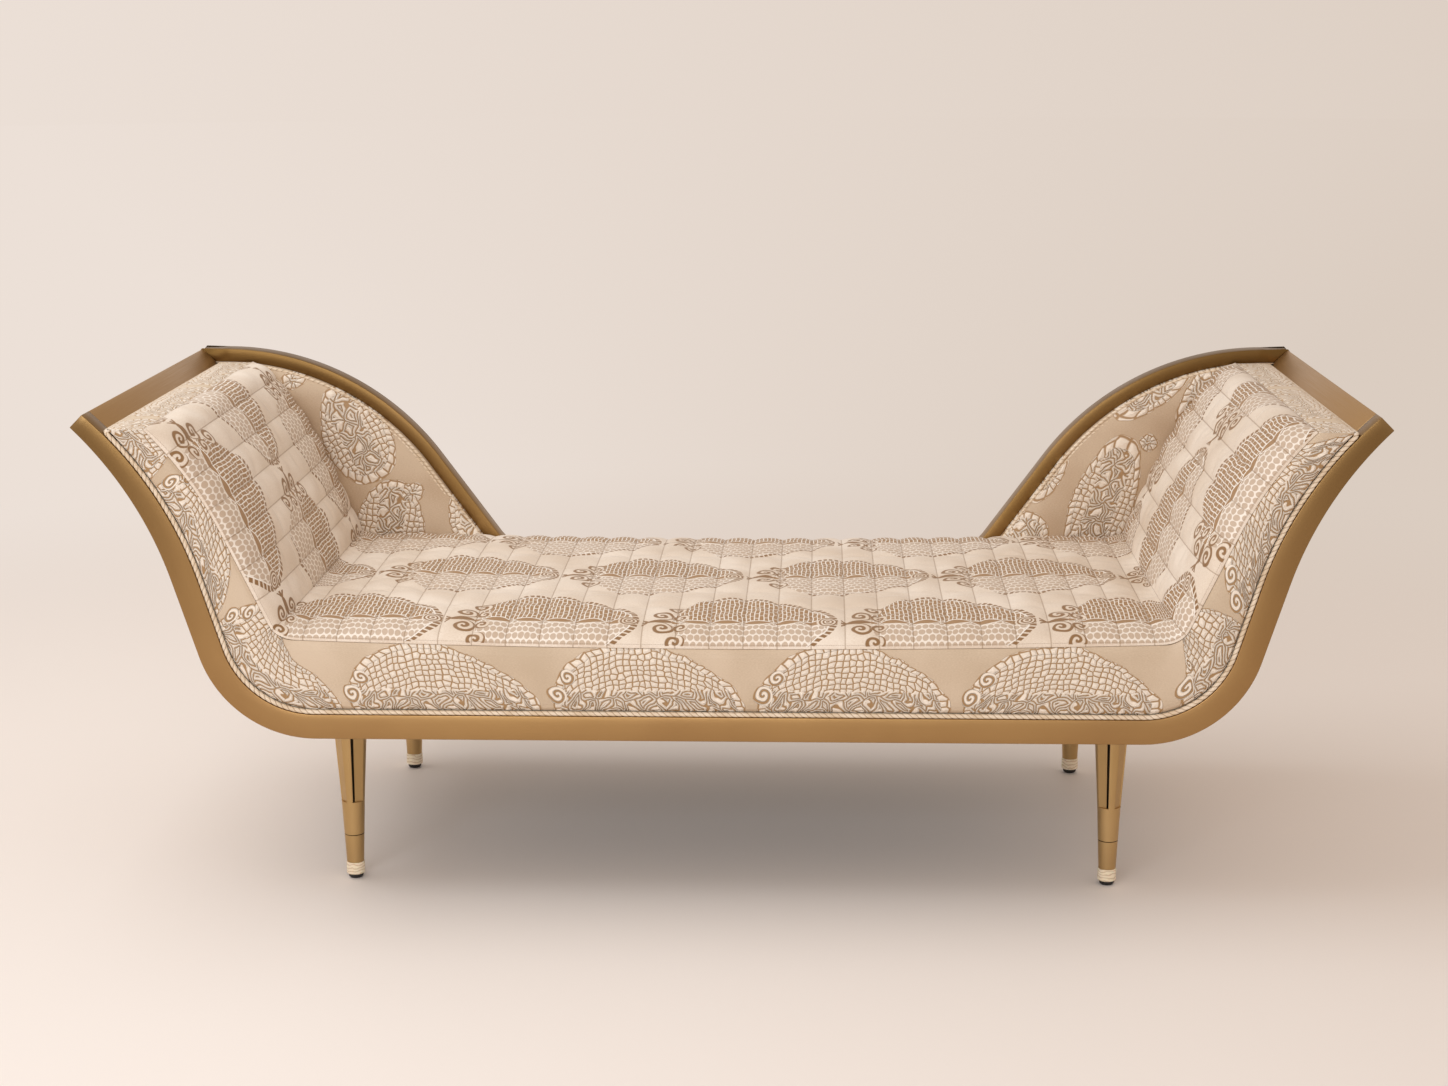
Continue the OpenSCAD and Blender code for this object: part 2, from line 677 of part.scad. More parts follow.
module ferrule() {
  color(ivory) difference() {
    rotate_extrude($fn = round_fn) polygon([
      [0, glide_h], [ferrule_d / 2 - ferrule_edge, glide_h],
      [ferrule_d / 2, glide_h + ferrule_edge], [ferrule_d / 2, foot_z - ferrule_edge],
      [ferrule_d / 2 - ferrule_edge / 2, foot_z], [0, foot_z]
    ]);
    translate([0, 0, glide_h - over])
      cylinder(d = bolt_d + 2 * screw_gap, h = ferrule_h + 2 * over, $fn = bolt_fn);
  }
}

glide_edge_r = 4;

module glide() {
  color(black) rotate_extrude($fn = round_fn) polygon(concat(
    [[0, 0]],
    arc([glide_d / 2 - glide_edge_r, glide_edge_r], glide_edge_r, -90, 0, turn_steps),
    [[glide_d / 2, glide_h], [bolt_d / 2, glide_h], [bolt_d / 2, screw_top], [0, screw_top]]
  ));
}

// Places a leg, a ferrule or a glide at one corner; the left ones are mirrored
module at_corner(side_x, side_y) {
  mirror([side_x < 0 ? 1 : 0, 0, 0]) translate([leg_x, side_y * -leg_y, 0]) children();
}

front_rail();
left_of() front_arm();  // front_arm_left
front_arm();  // front_arm_right
back_rail();
left_of() back_arm();  // back_arm_left
back_arm();  // back_arm_right
left_of() end_rail();  // end_rail_left
end_rail();  // end_rail_right
left_of() arch();  // arch_left
arch();  // arch_right
crest_rail();
seat_rail_front();
seat_rail_back();
end_cross_rails();
middle_cross_rails();
corner_blocks();
frame_bolts();
left_of() arm_shell();  // arm_shell_left
arm_shell();  // arm_shell_right
back_panel();
seat_webbing();
deck_cloth();
dust_cover();
seat_foam();
left_of() arm_foam();  // arm_foam_left
arm_foam();  // arm_foam_right
back_filler();
left_of() wing_pad();  // wing_pad_left
wing_pad();  // wing_pad_right
quilted_cover();
front_boxing();
left_of() end_boxing();  // end_boxing_left
end_boxing();  // end_boxing_right
front_welt();
left_of() back_welt();  // back_welt_left
back_welt();  // back_welt_right
left_of() outside_arm();  // outside_arm_left
outside_arm();  // outside_arm_right
outside_back();
leg_plates();
leg_bolts();
at_corner(-1, -1) leg();  // leg_front_left
at_corner(1, -1) leg();  // leg_front_right
at_corner(-1, 1) leg();  // leg_back_left
at_corner(1, 1) leg();  // leg_back_right
at_corner(-1, -1) ferrule();  // ferrule_front_left
at_corner(1, -1) ferrule();  // ferrule_front_right
at_corner(-1, 1) ferrule();  // ferrule_back_left
at_corner(1, 1) ferrule();  // ferrule_back_right
at_corner(-1, -1) glide();  // glide_front_left
at_corner(1, -1) glide();  // glide_front_right
at_corner(-1, 1) glide();  // glide_back_left
at_corner(1, 1) glide();  // glide_back_right
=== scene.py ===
import bmesh
import bpy
import math
from functools import partial
from mathutils import Matrix, Vector


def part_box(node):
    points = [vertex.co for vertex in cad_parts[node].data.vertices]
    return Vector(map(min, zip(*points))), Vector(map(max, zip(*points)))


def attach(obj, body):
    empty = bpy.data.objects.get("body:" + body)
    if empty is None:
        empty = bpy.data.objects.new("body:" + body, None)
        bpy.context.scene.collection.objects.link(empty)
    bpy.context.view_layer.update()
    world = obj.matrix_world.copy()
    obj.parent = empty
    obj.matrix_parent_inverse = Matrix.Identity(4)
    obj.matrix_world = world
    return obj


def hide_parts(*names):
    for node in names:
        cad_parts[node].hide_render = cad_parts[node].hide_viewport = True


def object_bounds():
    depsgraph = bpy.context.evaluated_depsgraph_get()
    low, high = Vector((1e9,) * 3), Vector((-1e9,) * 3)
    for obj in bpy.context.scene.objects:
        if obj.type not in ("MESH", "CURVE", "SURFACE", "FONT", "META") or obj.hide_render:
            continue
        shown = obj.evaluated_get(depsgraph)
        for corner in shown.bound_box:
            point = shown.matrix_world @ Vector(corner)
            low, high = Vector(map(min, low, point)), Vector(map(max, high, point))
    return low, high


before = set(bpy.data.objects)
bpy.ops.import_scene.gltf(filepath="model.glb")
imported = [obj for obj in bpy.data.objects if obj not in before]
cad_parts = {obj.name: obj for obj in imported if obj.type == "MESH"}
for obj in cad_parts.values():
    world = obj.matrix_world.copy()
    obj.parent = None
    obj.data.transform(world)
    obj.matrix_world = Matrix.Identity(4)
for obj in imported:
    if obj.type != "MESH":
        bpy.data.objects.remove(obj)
cad_low, cad_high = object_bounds()

# Front and back frames
# Two frames of flat hardwood boards, sawn to long curves, glued end to end and covered with bronze
# leaf under a satin lacquer: brush lines run along each board. Painted shade darkens the leaf towards
# the tips and darkens the whole back frame, and the sharp edges are painted lighter as a painted highlight.
BODY = "recamier"
CORNER_RADIUS = 0.195
ARM_LEAN = math.radians(17)
ARM_STRAIGHT = 0.136
FLARE_RADIUS = 0.600
TIP_LEAN = math.radians(45)
ARCH_FLAT = 0.044
ARCH_RADIUS = 0.500
ARCH_SLOPE = math.radians(54)
CREST_RADIUS = 0.060
BOARD_STEPS = [1, 40, 2, 28]
ARCH_STEPS = [40, 2, 14, 1]
EDGE_EASE = 0.0012
WELD = 1e-5
BRONZE = "#AA8657"
BRONZE_DEEP = "#9F7B4F"
# painted shade for the tips and for the back frame, and below them a painted highlight for the edges
BRONZE_PAINTED_SHADE_TIPS = "#7F623A"
BRONZE_BACK_PAINTED_SHADE = "#917040"
BRONZE_BACK_PAINTED_SHADE_TIPS = "#6F532B"
BRONZE_EDGE_PAINTED_HIGHLIGHT = "#C0A176"
TIPS_SHADE_FROM = 0.40
TIPS_SHADE_TO = 0.80
BRUSH_LINE = 0.0011
BRUSH_STROKE = 0.12

rail_low, rail_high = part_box("front_rail")
crest_low, crest_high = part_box("crest_rail")
BOARD_WIDTH = rail_high.z - rail_low.z
BOARD_THICKNESS = rail_high.y - rail_low.y
ARCH_WIDTH = crest_high.z - crest_low.z
corner_x = rail_high.x
corner_z = rail_low.z + CORNER_RADIUS
board_shift = BOARD_WIDTH / math.cos(ARM_LEAN)
to_flare = CORNER_RADIUS + FLARE_RADIUS
flare_x = corner_x + to_flare * math.cos(ARM_LEAN) + ARM_STRAIGHT * math.sin(ARM_LEAN)
flare_z = corner_z - to_flare * math.sin(ARM_LEAN) + ARM_STRAIGHT * math.cos(ARM_LEAN)
tip_cut = TIP_LEAN + math.asin(board_shift * math.sin(TIP_LEAN) / FLARE_RADIUS)


def straight(start, end):
    """A straight stretch of a line."""
    return lambda t: Vector(start).lerp(Vector(end), t)


def turn(centre, radius, first, last):
    """An arc about centre; its angles run anticlockwise from +X."""
    def place(t):
        angle = first + (last - first) * t
        return Vector((centre[0] + radius * math.cos(angle), centre[1] + radius * math.sin(angle)))
    return place


def side_line(shift, inset, top_lean):
    """Level bottom, corner, lean and flare of a board, moved level by shift and then in by inset."""
    radius = CORNER_RADIUS - shift * math.cos(ARM_LEAN) - inset
    corner = turn((corner_x, corner_z), radius, -math.pi / 2, -ARM_LEAN)
    flare = turn((flare_x - shift, flare_z), FLARE_RADIUS + inset, math.pi - ARM_LEAN, math.pi - top_lean)
    return [straight((0, corner(0).y), corner(0)), corner, straight(corner(1), flare(0)), flare]


def points_on(line, steps):
    """Places along a line, with so many steps on each of its stretches."""
    places = [line[0](0)]
    for stretch, count in zip(line, steps):
        places += [stretch((i + 1) / count) for i in range(count)]
    return places


def lean_at(height, inset=0.0):
    """The lean at which a flare line reaches a height."""
    return math.asin((height - flare_z) / (FLARE_RADIUS + inset))


tip_inner = turn((flare_x - board_shift, flare_z), FLARE_RADIUS, 0, math.pi - tip_cut)(1)
arm_top_z = tip_inner.y - ARCH_WIDTH
arch_centre = (tip_inner.x - ARCH_FLAT, tip_inner.y - ARCH_RADIUS)


def arch_line(inset):
    """The line of an arch, of its turn into the crest rail and of that rail, moved in by inset."""
    steep = turn(arch_centre, ARCH_RADIUS - inset, math.pi / 2, math.pi / 2 + ARCH_SLOPE)
    edge = turn(arch_centre, ARCH_RADIUS, 0, math.pi / 2 + ARCH_SLOPE)(1)
    foot_start = crest_high.z + CREST_RADIUS * (1 - math.cos(ARCH_SLOPE))
    foot_x = edge.x - (edge.y - foot_start) / math.tan(ARCH_SLOPE) - CREST_RADIUS * math.sin(ARCH_SLOPE)
    foot = turn((foot_x, crest_high.z + CREST_RADIUS), CREST_RADIUS + inset, ARCH_SLOPE - math.pi / 2,
                -math.pi / 2)
    return [steep, straight(steep(1), foot(0)), foot, straight(foot(1), (0, foot(1).y))]


def run_along(places):
    """How far along a row of places each of them lies."""
    run = [0.0]
    for a, b in zip(places, places[1:]):
        run.append(run[-1] + (b - a).length)
    return run


def sheet(columns, rows, place):
    """A grid of cloth or board. From its column and row, place gives each corner's place, and its
    place on the flat cut strip in metres, which is kept as the UV map."""
    mesh = bmesh.new()
    cut = mesh.loops.layers.uv.new("cut")
    bmesh.ops.create_grid(mesh, x_segments=columns, y_segments=rows, size=0.5)
    flat = {}
    for v in mesh.verts:
        v.co, flat[v] = place(round((v.co.x + 0.5) * columns), round((v.co.y + 0.5) * rows))
    for face in mesh.faces:
        for corner in face.loops:
            corner[cut].uv = flat[corner.vert]
    return mesh


def ribbon(first, second, rows=1, rise=lambda run, share: 0.0):
    """A strip between two lines in the plane of a board; rise moves a place on it back, by run along
    the strip and share across."""
    run = run_along([(a + b) / 2 for a, b in zip(first, second)])

    def place(i, j):
        share = j / rows
        spot = first[i].lerp(second[i], share)
        return (spot.x, rise(run[i], share), spot.y), (run[i], share * (second[i] - first[i]).length)
    return sheet(len(first) - 1, rows, place)


def joined(*parts):
    """One mesh of several, welded where they meet."""
    whole = parts[0]
    for part in parts[1:]:
        data = bpy.data.meshes.new("part")
        part.to_mesh(data)
        part.free()
        whole.from_mesh(data)
        bpy.data.meshes.remove(data)
    bmesh.ops.remove_doubles(whole, verts=whole.verts, dist=WELD)
    return whole


def both_sides(mesh):
    """Adds the left half to the right half and welds them in the middle. The cut runs on through
    the middle, so it is counted the other way on the left."""
    bmesh.ops.mirror(mesh, geom=mesh.verts[:] + mesh.edges[:] + mesh.faces[:], axis="X", merge_dist=WELD)
    cut = mesh.loops.layers.uv.active
    for face in mesh.faces:
        if face.calc_center_median().x < 0:
            for corner in face.loops:
                corner[cut].uv.x *= -1
    return mesh


def turned_left(mesh):
    """The left hand of a right-hand piece."""
    bmesh.ops.scale(mesh, vec=(-1, 1, 1), verts=mesh.verts)
    bmesh.ops.reverse_faces(mesh, faces=mesh.faces)
    return mesh


def grown(mesh, place):
    """Closes an open sheet into a solid: its copy is moved by place, and walls join the two."""
    copy = bmesh.ops.extrude_face_region(mesh, geom=mesh.faces[:])["geom"]
    for v in [g for g in copy if isinstance(g, bmesh.types.BMVert)]:
        v.co = place(v.co)
    bmesh.ops.recalc_face_normals(mesh, faces=mesh.faces)
    return mesh


def smoothed(mesh):
    for face in mesh.faces:
        face.smooth = True
    return mesh


def eased(mesh, width, least=28.0, segments=2):
    """Rounds the edges that are sharper than least degrees, and smooths the faces."""
    sharp = [e for e in mesh.edges if e.is_manifold and e.calc_face_angle(0) > math.radians(least)]
    bmesh.ops.bevel(mesh, geom=sharp, offset=width, affect="EDGES", segments=segments, profile=0.5,
                    material=-1, clamp_overlap=True)
    return smoothed(mesh)


def keep_piece(name, mesh, finish, nodes, body=BODY):
    """Makes a finished mesh a piece of the object in place of its CAD nodes."""
    data = bpy.data.meshes.new(name)
    mesh.to_mesh(data)
    mesh.free()
    data.materials.append(finish)
    piece = bpy.data.objects.new(name, data)
    bpy.context.collection.objects.link(piece)
    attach(piece, body)
    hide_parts(*nodes)
    return piece


def feed(node, inputs):
    """Sets or links a node's inputs, each by its name or number."""
    for key, value in inputs.items():
        if isinstance(value, bpy.types.NodeSocket):
            node.id_data.links.new(value, node.inputs[key])
        else:
            node.inputs[key].default_value = value


def add_node(tree, kind, *values, put={}, out=None, **settings):
    """Adds a shader node of a kind, such as "Math ADD", with its settings. The values go to the inputs
    in use, in order, and put holds the named ones. It gives the output named, or else the first."""
    kind, _, operation = kind.partition(" ")
    node = tree.nodes.new("ShaderNode" + kind)
    if operation:
        node.operation = operation
    for name, value in settings.items():
        setattr(node, name, value)
    in_use = [i for i, socket in enumerate(node.inputs) if socket.enabled]
    feed(node, {**dict(zip(in_use, values)), **put})
    return node.outputs[out] if out else next(socket for socket in node.outputs if socket.enabled)


def linear(colour):
    """An sRGB hex colour as linear red, green, blue and alpha."""
    parts = [int(colour[i:i + 2], 16) / 255 for i in (1, 3, 5)]
    return [p / 12.92 if p <= 0.04045 else ((p + 0.055) / 1.055) ** 2.4 for p in parts] + [1.0]


def new_finish(name, metallic=0.0, roughness=0.5):
    """A new material, its shader, and what adds a node to it."""
    finish = bpy.data.materials.new(name)
    finish.use_nodes = True
    shader = finish.node_tree.nodes["Principled BSDF"]
    feed(shader, {"Metallic": metallic, "Roughness": roughness})
    return finish, shader, partial(add_node, finish.node_tree)


def bronze_leaf(name, along, stretch, low, deep, top):
    """Bronze leaf under satin lacquer: a soft metal gloss, broken by fine brush lines. They run where
    the output along says, drawn out by stretch. It is laid in two tones, low and deep. Painted shade
    darkens it to top towards the tips, and its sharp edges are painted lighter as a painted highlight."""
    finish, shader, add = new_finish(name, metallic=0.92)
    place = add("TexCoord", out="Object")
    drawn = add("VectorMath MULTIPLY", add("TexCoord", out=along), stretch)
    brushed = add("TexNoise", drawn, 1.0, 3.0)
    tone = add("MapRange", add("TexNoise", place, 3.5, 3.0), 0.35, 0.65)
    ground = add("Mix", tone, linear(deep), linear(low), data_type="RGBA")
    # painted shade: the leaf darkens to top higher up the frame, towards the tips
    tips_shade = add("MapRange", add("SeparateXYZ", place, out="Z"), TIPS_SHADE_FROM, TIPS_SHADE_TO)
    ground = add("Mix", tips_shade, ground, linear(top), data_type="RGBA")
    # painted highlight: the sharp edges are coloured lighter
    edge = add("MapRange", add("NewGeometry", out="Pointiness"), 0.53, 0.62, 0.0, 0.5)
    feed(shader, {"Base Color": add("Mix", edge, ground, linear(BRONZE_EDGE_PAINTED_HIGHLIGHT), data_type="RGBA"),
                  "Roughness": add("MapRange", brushed, 0.3, 0.7, 0.3, 0.42),
                  "Normal": add("Bump", 0.1, 0.0004, put={"Height": brushed})})
    return finish


BRUSHED_ALONG = (1 / BRUSH_STROKE, 1 / BRUSH_LINE, 0)
board_leaf = bronze_leaf("brushed_bronze_leaf", "UV", BRUSHED_ALONG, BRONZE, BRONZE_DEEP, BRONZE_PAINTED_SHADE_TIPS)
# painted shade: the back frame's leaf is laid darker all over, and darker still at the tips
back_leaf = bronze_leaf("brushed_bronze_leaf_back", "UV", BRUSHED_ALONG, BRONZE, BRONZE_BACK_PAINTED_SHADE,
                        BRONZE_BACK_PAINTED_SHADE_TIPS)


def make_boards():
    """The rail and the two arm boards, the right half of them."""
    return ribbon(points_on(side_line(0, 0, TIP_LEAN), BOARD_STEPS),
                  points_on(side_line(board_shift, 0, tip_cut), BOARD_STEPS))


def make_arches():
    """The arches, which meet the arm boards along the boards' inner edge."""
    joint = turn((flare_x - board_shift, flare_z), FLARE_RADIUS, 0, math.pi - lean_at(arm_top_z))(1)
    return ribbon([tip_inner] + points_on(arch_line(0), ARCH_STEPS),
                  [joint] + points_on(arch_line(ARCH_WIDTH), ARCH_STEPS))


def make_frame(front, *parts):
    """A whole frame of boards, one board thick from its front face."""
    whole = both_sides(joined(*parts))
    bmesh.ops.translate(whole, vec=(0, front, 0), verts=whole.verts)
    return eased(grown(whole, lambda p: p + Vector((0, BOARD_THICKNESS, 0))), EDGE_EASE)


keep_piece("front_frame", make_frame(cad_low.y, make_boards()), board_leaf,
           ["front_rail", "front_arm_left", "front_arm_right"])
keep_piece("back_frame", make_frame(cad_high.y - BOARD_THICKNESS, make_boards(), make_arches()),
           back_leaf,
           ["back_rail", "back_arm_left", "back_arm_right", "arch_left", "arch_right", "crest_rail"])

# End rails
# A flat rail closes each arm's tip between the two frames. It is fitted between them and glued, and
# the eased edges leave a fine joint line at both ends.
END_STEPS = 6
end_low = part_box("end_rail_right")[0]
front_in_y = end_low.y


def keep_pair(name, make, finish, node):
    """Makes a right-hand piece and its left hand, in place of a CAD node each."""
    return [keep_piece(name.format(side), mesh, finish, [node.format(side)])
            for side, mesh in (("right", make()), ("left", turned_left(make())))]


def make_end_rail():
    low_lean = lean_at(end_low.z)
    outer = turn((flare_x, flare_z), FLARE_RADIUS, math.pi - low_lean, math.pi - TIP_LEAN)
    inner = turn((flare_x - board_shift, flare_z), FLARE_RADIUS, math.pi - low_lean, math.pi - tip_cut)
    rail = ribbon(points_on([outer], [END_STEPS]), points_on([inner], [END_STEPS]))
    bmesh.ops.translate(rail, vec=(0, front_in_y, 0), verts=rail.verts)
    return eased(grown(rail, lambda p: Vector((p.x, -front_in_y, p.z))), EDGE_EASE)


end_leaf = bronze_leaf("brushed_bronze_leaf_cross", "Object",
                       (1 / BRUSH_LINE, 1 / BRUSH_STROKE, 1 / BRUSH_LINE), BRONZE, BRONZE_DEEP, BRONZE)
keep_pair("end_rail_{}_leafed", make_end_rail, end_leaf, "end_rail_{}")

# Seat frame
# Planed beech rails, glued and dowelled, with a block screwed into each corner. Zinc-plated bolts
# hold the two show frames to them, and steel plates take the legs.
GRAIN = 0.0035
GRAIN_LENGTH = 0.25
BEECH = "#CDA878"
BEECH_DARK = "#B58B5A"
ZINC = "#A9ACAE"


def planed_beech(name, stretch):
    """Planed beech, unfinished: pale and matt, with a fine grain and small flecks along it."""
    finish, shader, add = new_finish(name, roughness=0.62)
    place = add("VectorMath MULTIPLY", add("TexCoord", out="Object"), stretch)
    grain = add("TexNoise", place, 1.0, 4.0, put={"Distortion": 0.4})
    feed(shader, {"Base Color": add("Mix", add("MapRange", grain, 0.35, 0.65), linear(BEECH_DARK),
                                    linear(BEECH), data_type="RGBA"),
                  "Normal": add("Bump", 0.2, 0.0003, put={"Height": grain})})
    return finish


def zinc_plate():
    """Zinc-plated steel: grey metal with a soft, faintly spangled gloss."""
    finish, shader, add = new_finish("zinc_plated_steel", metallic=1.0)
    spangle = add("TexVoronoi", add("TexCoord", out="Object"), 300.0, out="Color")
    feed(shader, {"Base Color": linear(ZINC), "Roughness": add("MapRange", spangle, 0.0, 1.0, 0.28, 0.42)})
    return finish


def refinished(finish, *nodes):
    """Gives CAD nodes that keep their shape their finish."""
    for name in nodes:
        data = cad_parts[name].data
        data.materials.clear()
        data.materials.append(finish)


long_beech = planed_beech("planed_beech_long", (1 / GRAIN_LENGTH, 1 / GRAIN, 1 / GRAIN))
refinished(long_beech, "seat_rail_front", "seat_rail_back")
refinished(planed_beech("planed_beech_cross", (1 / GRAIN, 1 / GRAIN_LENGTH, 1 / GRAIN)),
           "end_cross_rails", "middle_cross_rails", "corner_blocks")
refinished(zinc_plate(), "frame_bolts", "leg_plates", "leg_bolts")

# Legs
# Turned and tapered hardwood, leafed like the boards but paler, as painted light against the shade
# under the seat. Four flat flutes end in a sharp ledge, with a narrow slot beside each, and a ring is
# cut below them; slots and ring are painted black as painted shade.
LEG_SEGMENTS = 192
FLUTE_Z = 0.138
RING_Z = 0.079
RING_WIDTH = 0.0016
RING_DEPTH = 0.0008
LEG_TOP_RADIUS = 0.028
LEG_FLUTE_RADIUS = 0.0195
LEG_FOOT_RADIUS = 0.0145
FLUTE_COUNT = 4
FLUTE_START = math.radians(53)
FLUTE_DEPTH = 0.003
SLOT_TURN = math.radians(22)
SLOT_WIDTH = 0.0032
SLOT_DEPTH = 0.004
LEDGE = 0.0004
SHARP_FROM = math.radians(24)
# painted light: a paler leaf for the legs, against the shade under the seat; below it, painted shade for
# the slots
LEG_BRONZE_PAINTED_LIGHT = "#C2A272"
LEG_BRONZE_DEEP_PAINTED_LIGHT = "#B59462"
SLOT_PAINTED_SHADE = "#1C150C"
leg_low, leg_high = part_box("leg_front_right")
leg_x = (leg_low.x + leg_high.x) / 2
leg_y = (leg_low.y + leg_high.y) / 2


def leg_radius(z):
    """The radius of the tapered leg at a height."""
    if z > FLUTE_Z:
        share = (z - FLUTE_Z) / (leg_high.z - FLUTE_Z)
        return LEG_FLUTE_RADIUS + (LEG_TOP_RADIUS - LEG_FLUTE_RADIUS) * share
    share = (z - leg_low.z) / (FLUTE_Z - leg_low.z)
    return LEG_FOOT_RADIUS + (LEG_FLUTE_RADIUS - LEG_FOOT_RADIUS) * share


def spun(profile, segments):
    """A turned solid from a profile of radius and height, closed at both ends."""
    mesh = bmesh.new()
    verts = [mesh.verts.new((r, 0, z)) for r, z in profile]
    edges = [mesh.edges.new(pair) for pair in zip(verts, verts[1:])]
    bmesh.ops.spin(mesh, geom=verts + edges, cent=(0, 0, 0), axis=(0, 0, 1), dvec=(0, 0, 0),
                   angle=math.tau, steps=segments, use_merge=True, use_duplicate=False)
    bmesh.ops.remove_doubles(mesh, verts=mesh.verts, dist=1e-6)
    bmesh.ops.holes_fill(mesh, edges=[e for e in mesh.edges if e.is_boundary], sides=0)
    bmesh.ops.recalc_face_normals(mesh, faces=mesh.faces)
    return mesh


def make_leg():
    low_heights = [leg_low.z, RING_Z - RING_WIDTH, RING_Z - RING_WIDTH / 2, RING_Z,
                   RING_Z + RING_WIDTH / 2, RING_Z + RING_WIDTH, FLUTE_Z - LEDGE, FLUTE_Z]
    cut_heights = [FLUTE_Z + LEDGE, FLUTE_Z + 4 * LEDGE, (FLUTE_Z + leg_high.z) / 2, leg_high.z]
    profile = [(leg_radius(z) - (RING_DEPTH if z == RING_Z else 0), z) for z in low_heights + cut_heights]
    leg = spun(profile, LEG_SEGMENTS)
    for v in leg.verts:
        if v.co.z < FLUTE_Z + LEDGE / 2:
            continue
        radius, angle = math.hypot(v.co.x, v.co.y), math.atan2(v.co.y, v.co.x)
        for k in range(FLUTE_COUNT):
            off = math.remainder(angle - FLUTE_START - math.tau * k / FLUTE_COUNT, math.tau)
            flat = leg_radius(v.co.z) - FLUTE_DEPTH
            if abs(off) < math.pi / 4:
                radius = min(radius, flat / math.cos(off))
            if abs(math.remainder(off - SLOT_TURN, math.tau)) * LEG_FLUTE_RADIUS < SLOT_WIDTH / 2:
                radius = flat - SLOT_DEPTH
        v.co.xy = radius * math.cos(angle), radius * math.sin(angle)
    bmesh.ops.recalc_face_normals(leg, faces=leg.faces)
    for edge in leg.edges:
        edge.smooth = edge.calc_face_angle(0) < SHARP_FROM
    return smoothed(leg)


def at_corner(mesh, side_x, side_y):
    """Stands a turned piece at one corner; the left ones are mirrored."""
    if side_x < 0:
        turned_left(mesh)
    bmesh.ops.translate(mesh, vec=(side_x * leg_x, -side_y * leg_y, 0), verts=mesh.verts)
    return mesh


def turned_leaf():
    """The same leaf on the legs, laid a little paler as painted light against the shade under the seat,
    with black painted into the slots and the ring as painted shade.
    """
    finish = bronze_leaf("turned_bronze_leaf", "Object",
                         (1 / BRUSH_LINE, 1 / BRUSH_LINE, 1 / BRUSH_STROKE), LEG_BRONZE_PAINTED_LIGHT, LEG_BRONZE_DEEP_PAINTED_LIGHT,
                         LEG_BRONZE_PAINTED_LIGHT)
    shader, add = finish.node_tree.nodes["Principled BSDF"], partial(add_node, finish.node_tree)
    folded = add("VectorMath ABSOLUTE", add("TexCoord", out="Object"))
    own = add("VectorMath SUBTRACT", folded, (leg_x, abs(leg_y), 0.0))
    height = add("SeparateXYZ", own, out="Z")
    radius = add("VectorMath LENGTH", add("VectorMath MULTIPLY", own, (1.0, 1.0, 0.0)))
    flat = add("MapRange", height, FLUTE_Z, leg_high.z, LEG_FLUTE_RADIUS - FLUTE_DEPTH,
               LEG_TOP_RADIUS - FLUTE_DEPTH)
    sunk = add("MapRange", add("Math SUBTRACT", flat, radius), SLOT_DEPTH * 0.2, SLOT_DEPTH * 0.5)
    slot = add("Math MULTIPLY", sunk, add("Math GREATER_THAN", height, FLUTE_Z))
    off_ring = add("Math ABSOLUTE", add("Math SUBTRACT", height, RING_Z))
    # painted shade: black where the slots sink and in the ring
    slot_and_ring_shade = add("Math MAXIMUM", slot, add("MapRange", off_ring, RING_WIDTH / 2, RING_WIDTH / 4))
    leafed = shader.inputs["Base Color"].links[0].from_socket
    feed(shader, {"Base Color": add("Mix", slot_and_ring_shade, leafed, linear(SLOT_PAINTED_SHADE), data_type="RGBA")})
    return finish


leg_leaf = turned_leaf()
corners = {"front_left": (-1, -1), "front_right": (1, -1), "back_left": (-1, 1), "back_right": (1, 1)}
for corner, (side_x, side_y) in corners.items():
    keep_piece("fluted_leg_" + corner, at_corner(make_leg(), side_x, side_y), leg_leaf,
               ["leg_" + corner])

# Ferrules and glides
# Each leg ends in an ivory-coloured cast resin ferrule, faintly veined, and stands on a black nylon
# glide, moulded in one with its screw, that turns in the leg.
TURNED_SEGMENTS = 72
FERRULE_RADIUS = 0.0155
FERRULE_EDGE = 0.0018
GLIDE_RADIUS = 0.0125
GLIDE_EDGE = 0.0045
SCREW_RADIUS = 0.004
IVORY = "#EDE0C8"
IVORY_VEIN = "#C3A883"
NYLON = "#141110"
ferrule_low, ferrule_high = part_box("ferrule_front_right")
screw_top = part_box("glide_front_right")[1].z


def rounded(radius, z, edge, up, steps=6):
    """The rounded corner of a turned profile, below a height or above it."""
    angles = [math.pi / 2 * i / steps for i in range(steps + 1)]
    places = [(radius - edge + edge * math.sin(a), z + up * edge * (1 - math.cos(a))) for a in angles]
    return places if up > 0 else places[::-1]


def make_ferrule():
    profile = (rounded(FERRULE_RADIUS, ferrule_low.z, FERRULE_EDGE, 1)
               + rounded(FERRULE_RADIUS, ferrule_high.z, FERRULE_EDGE / 2, -1))
    return eased(spun(profile, TURNED_SEGMENTS), FERRULE_EDGE / 9, 60)


def make_glide():
    profile = rounded(GLIDE_RADIUS, 0, GLIDE_EDGE, 1)
    profile += rounded(GLIDE_RADIUS, ferrule_low.z, GLIDE_EDGE / 9, -1)
    profile += [(SCREW_RADIUS, ferrule_low.z), (SCREW_RADIUS, screw_top)]
    return eased(spun(profile, TURNED_SEGMENTS), GLIDE_EDGE / 18, 60)


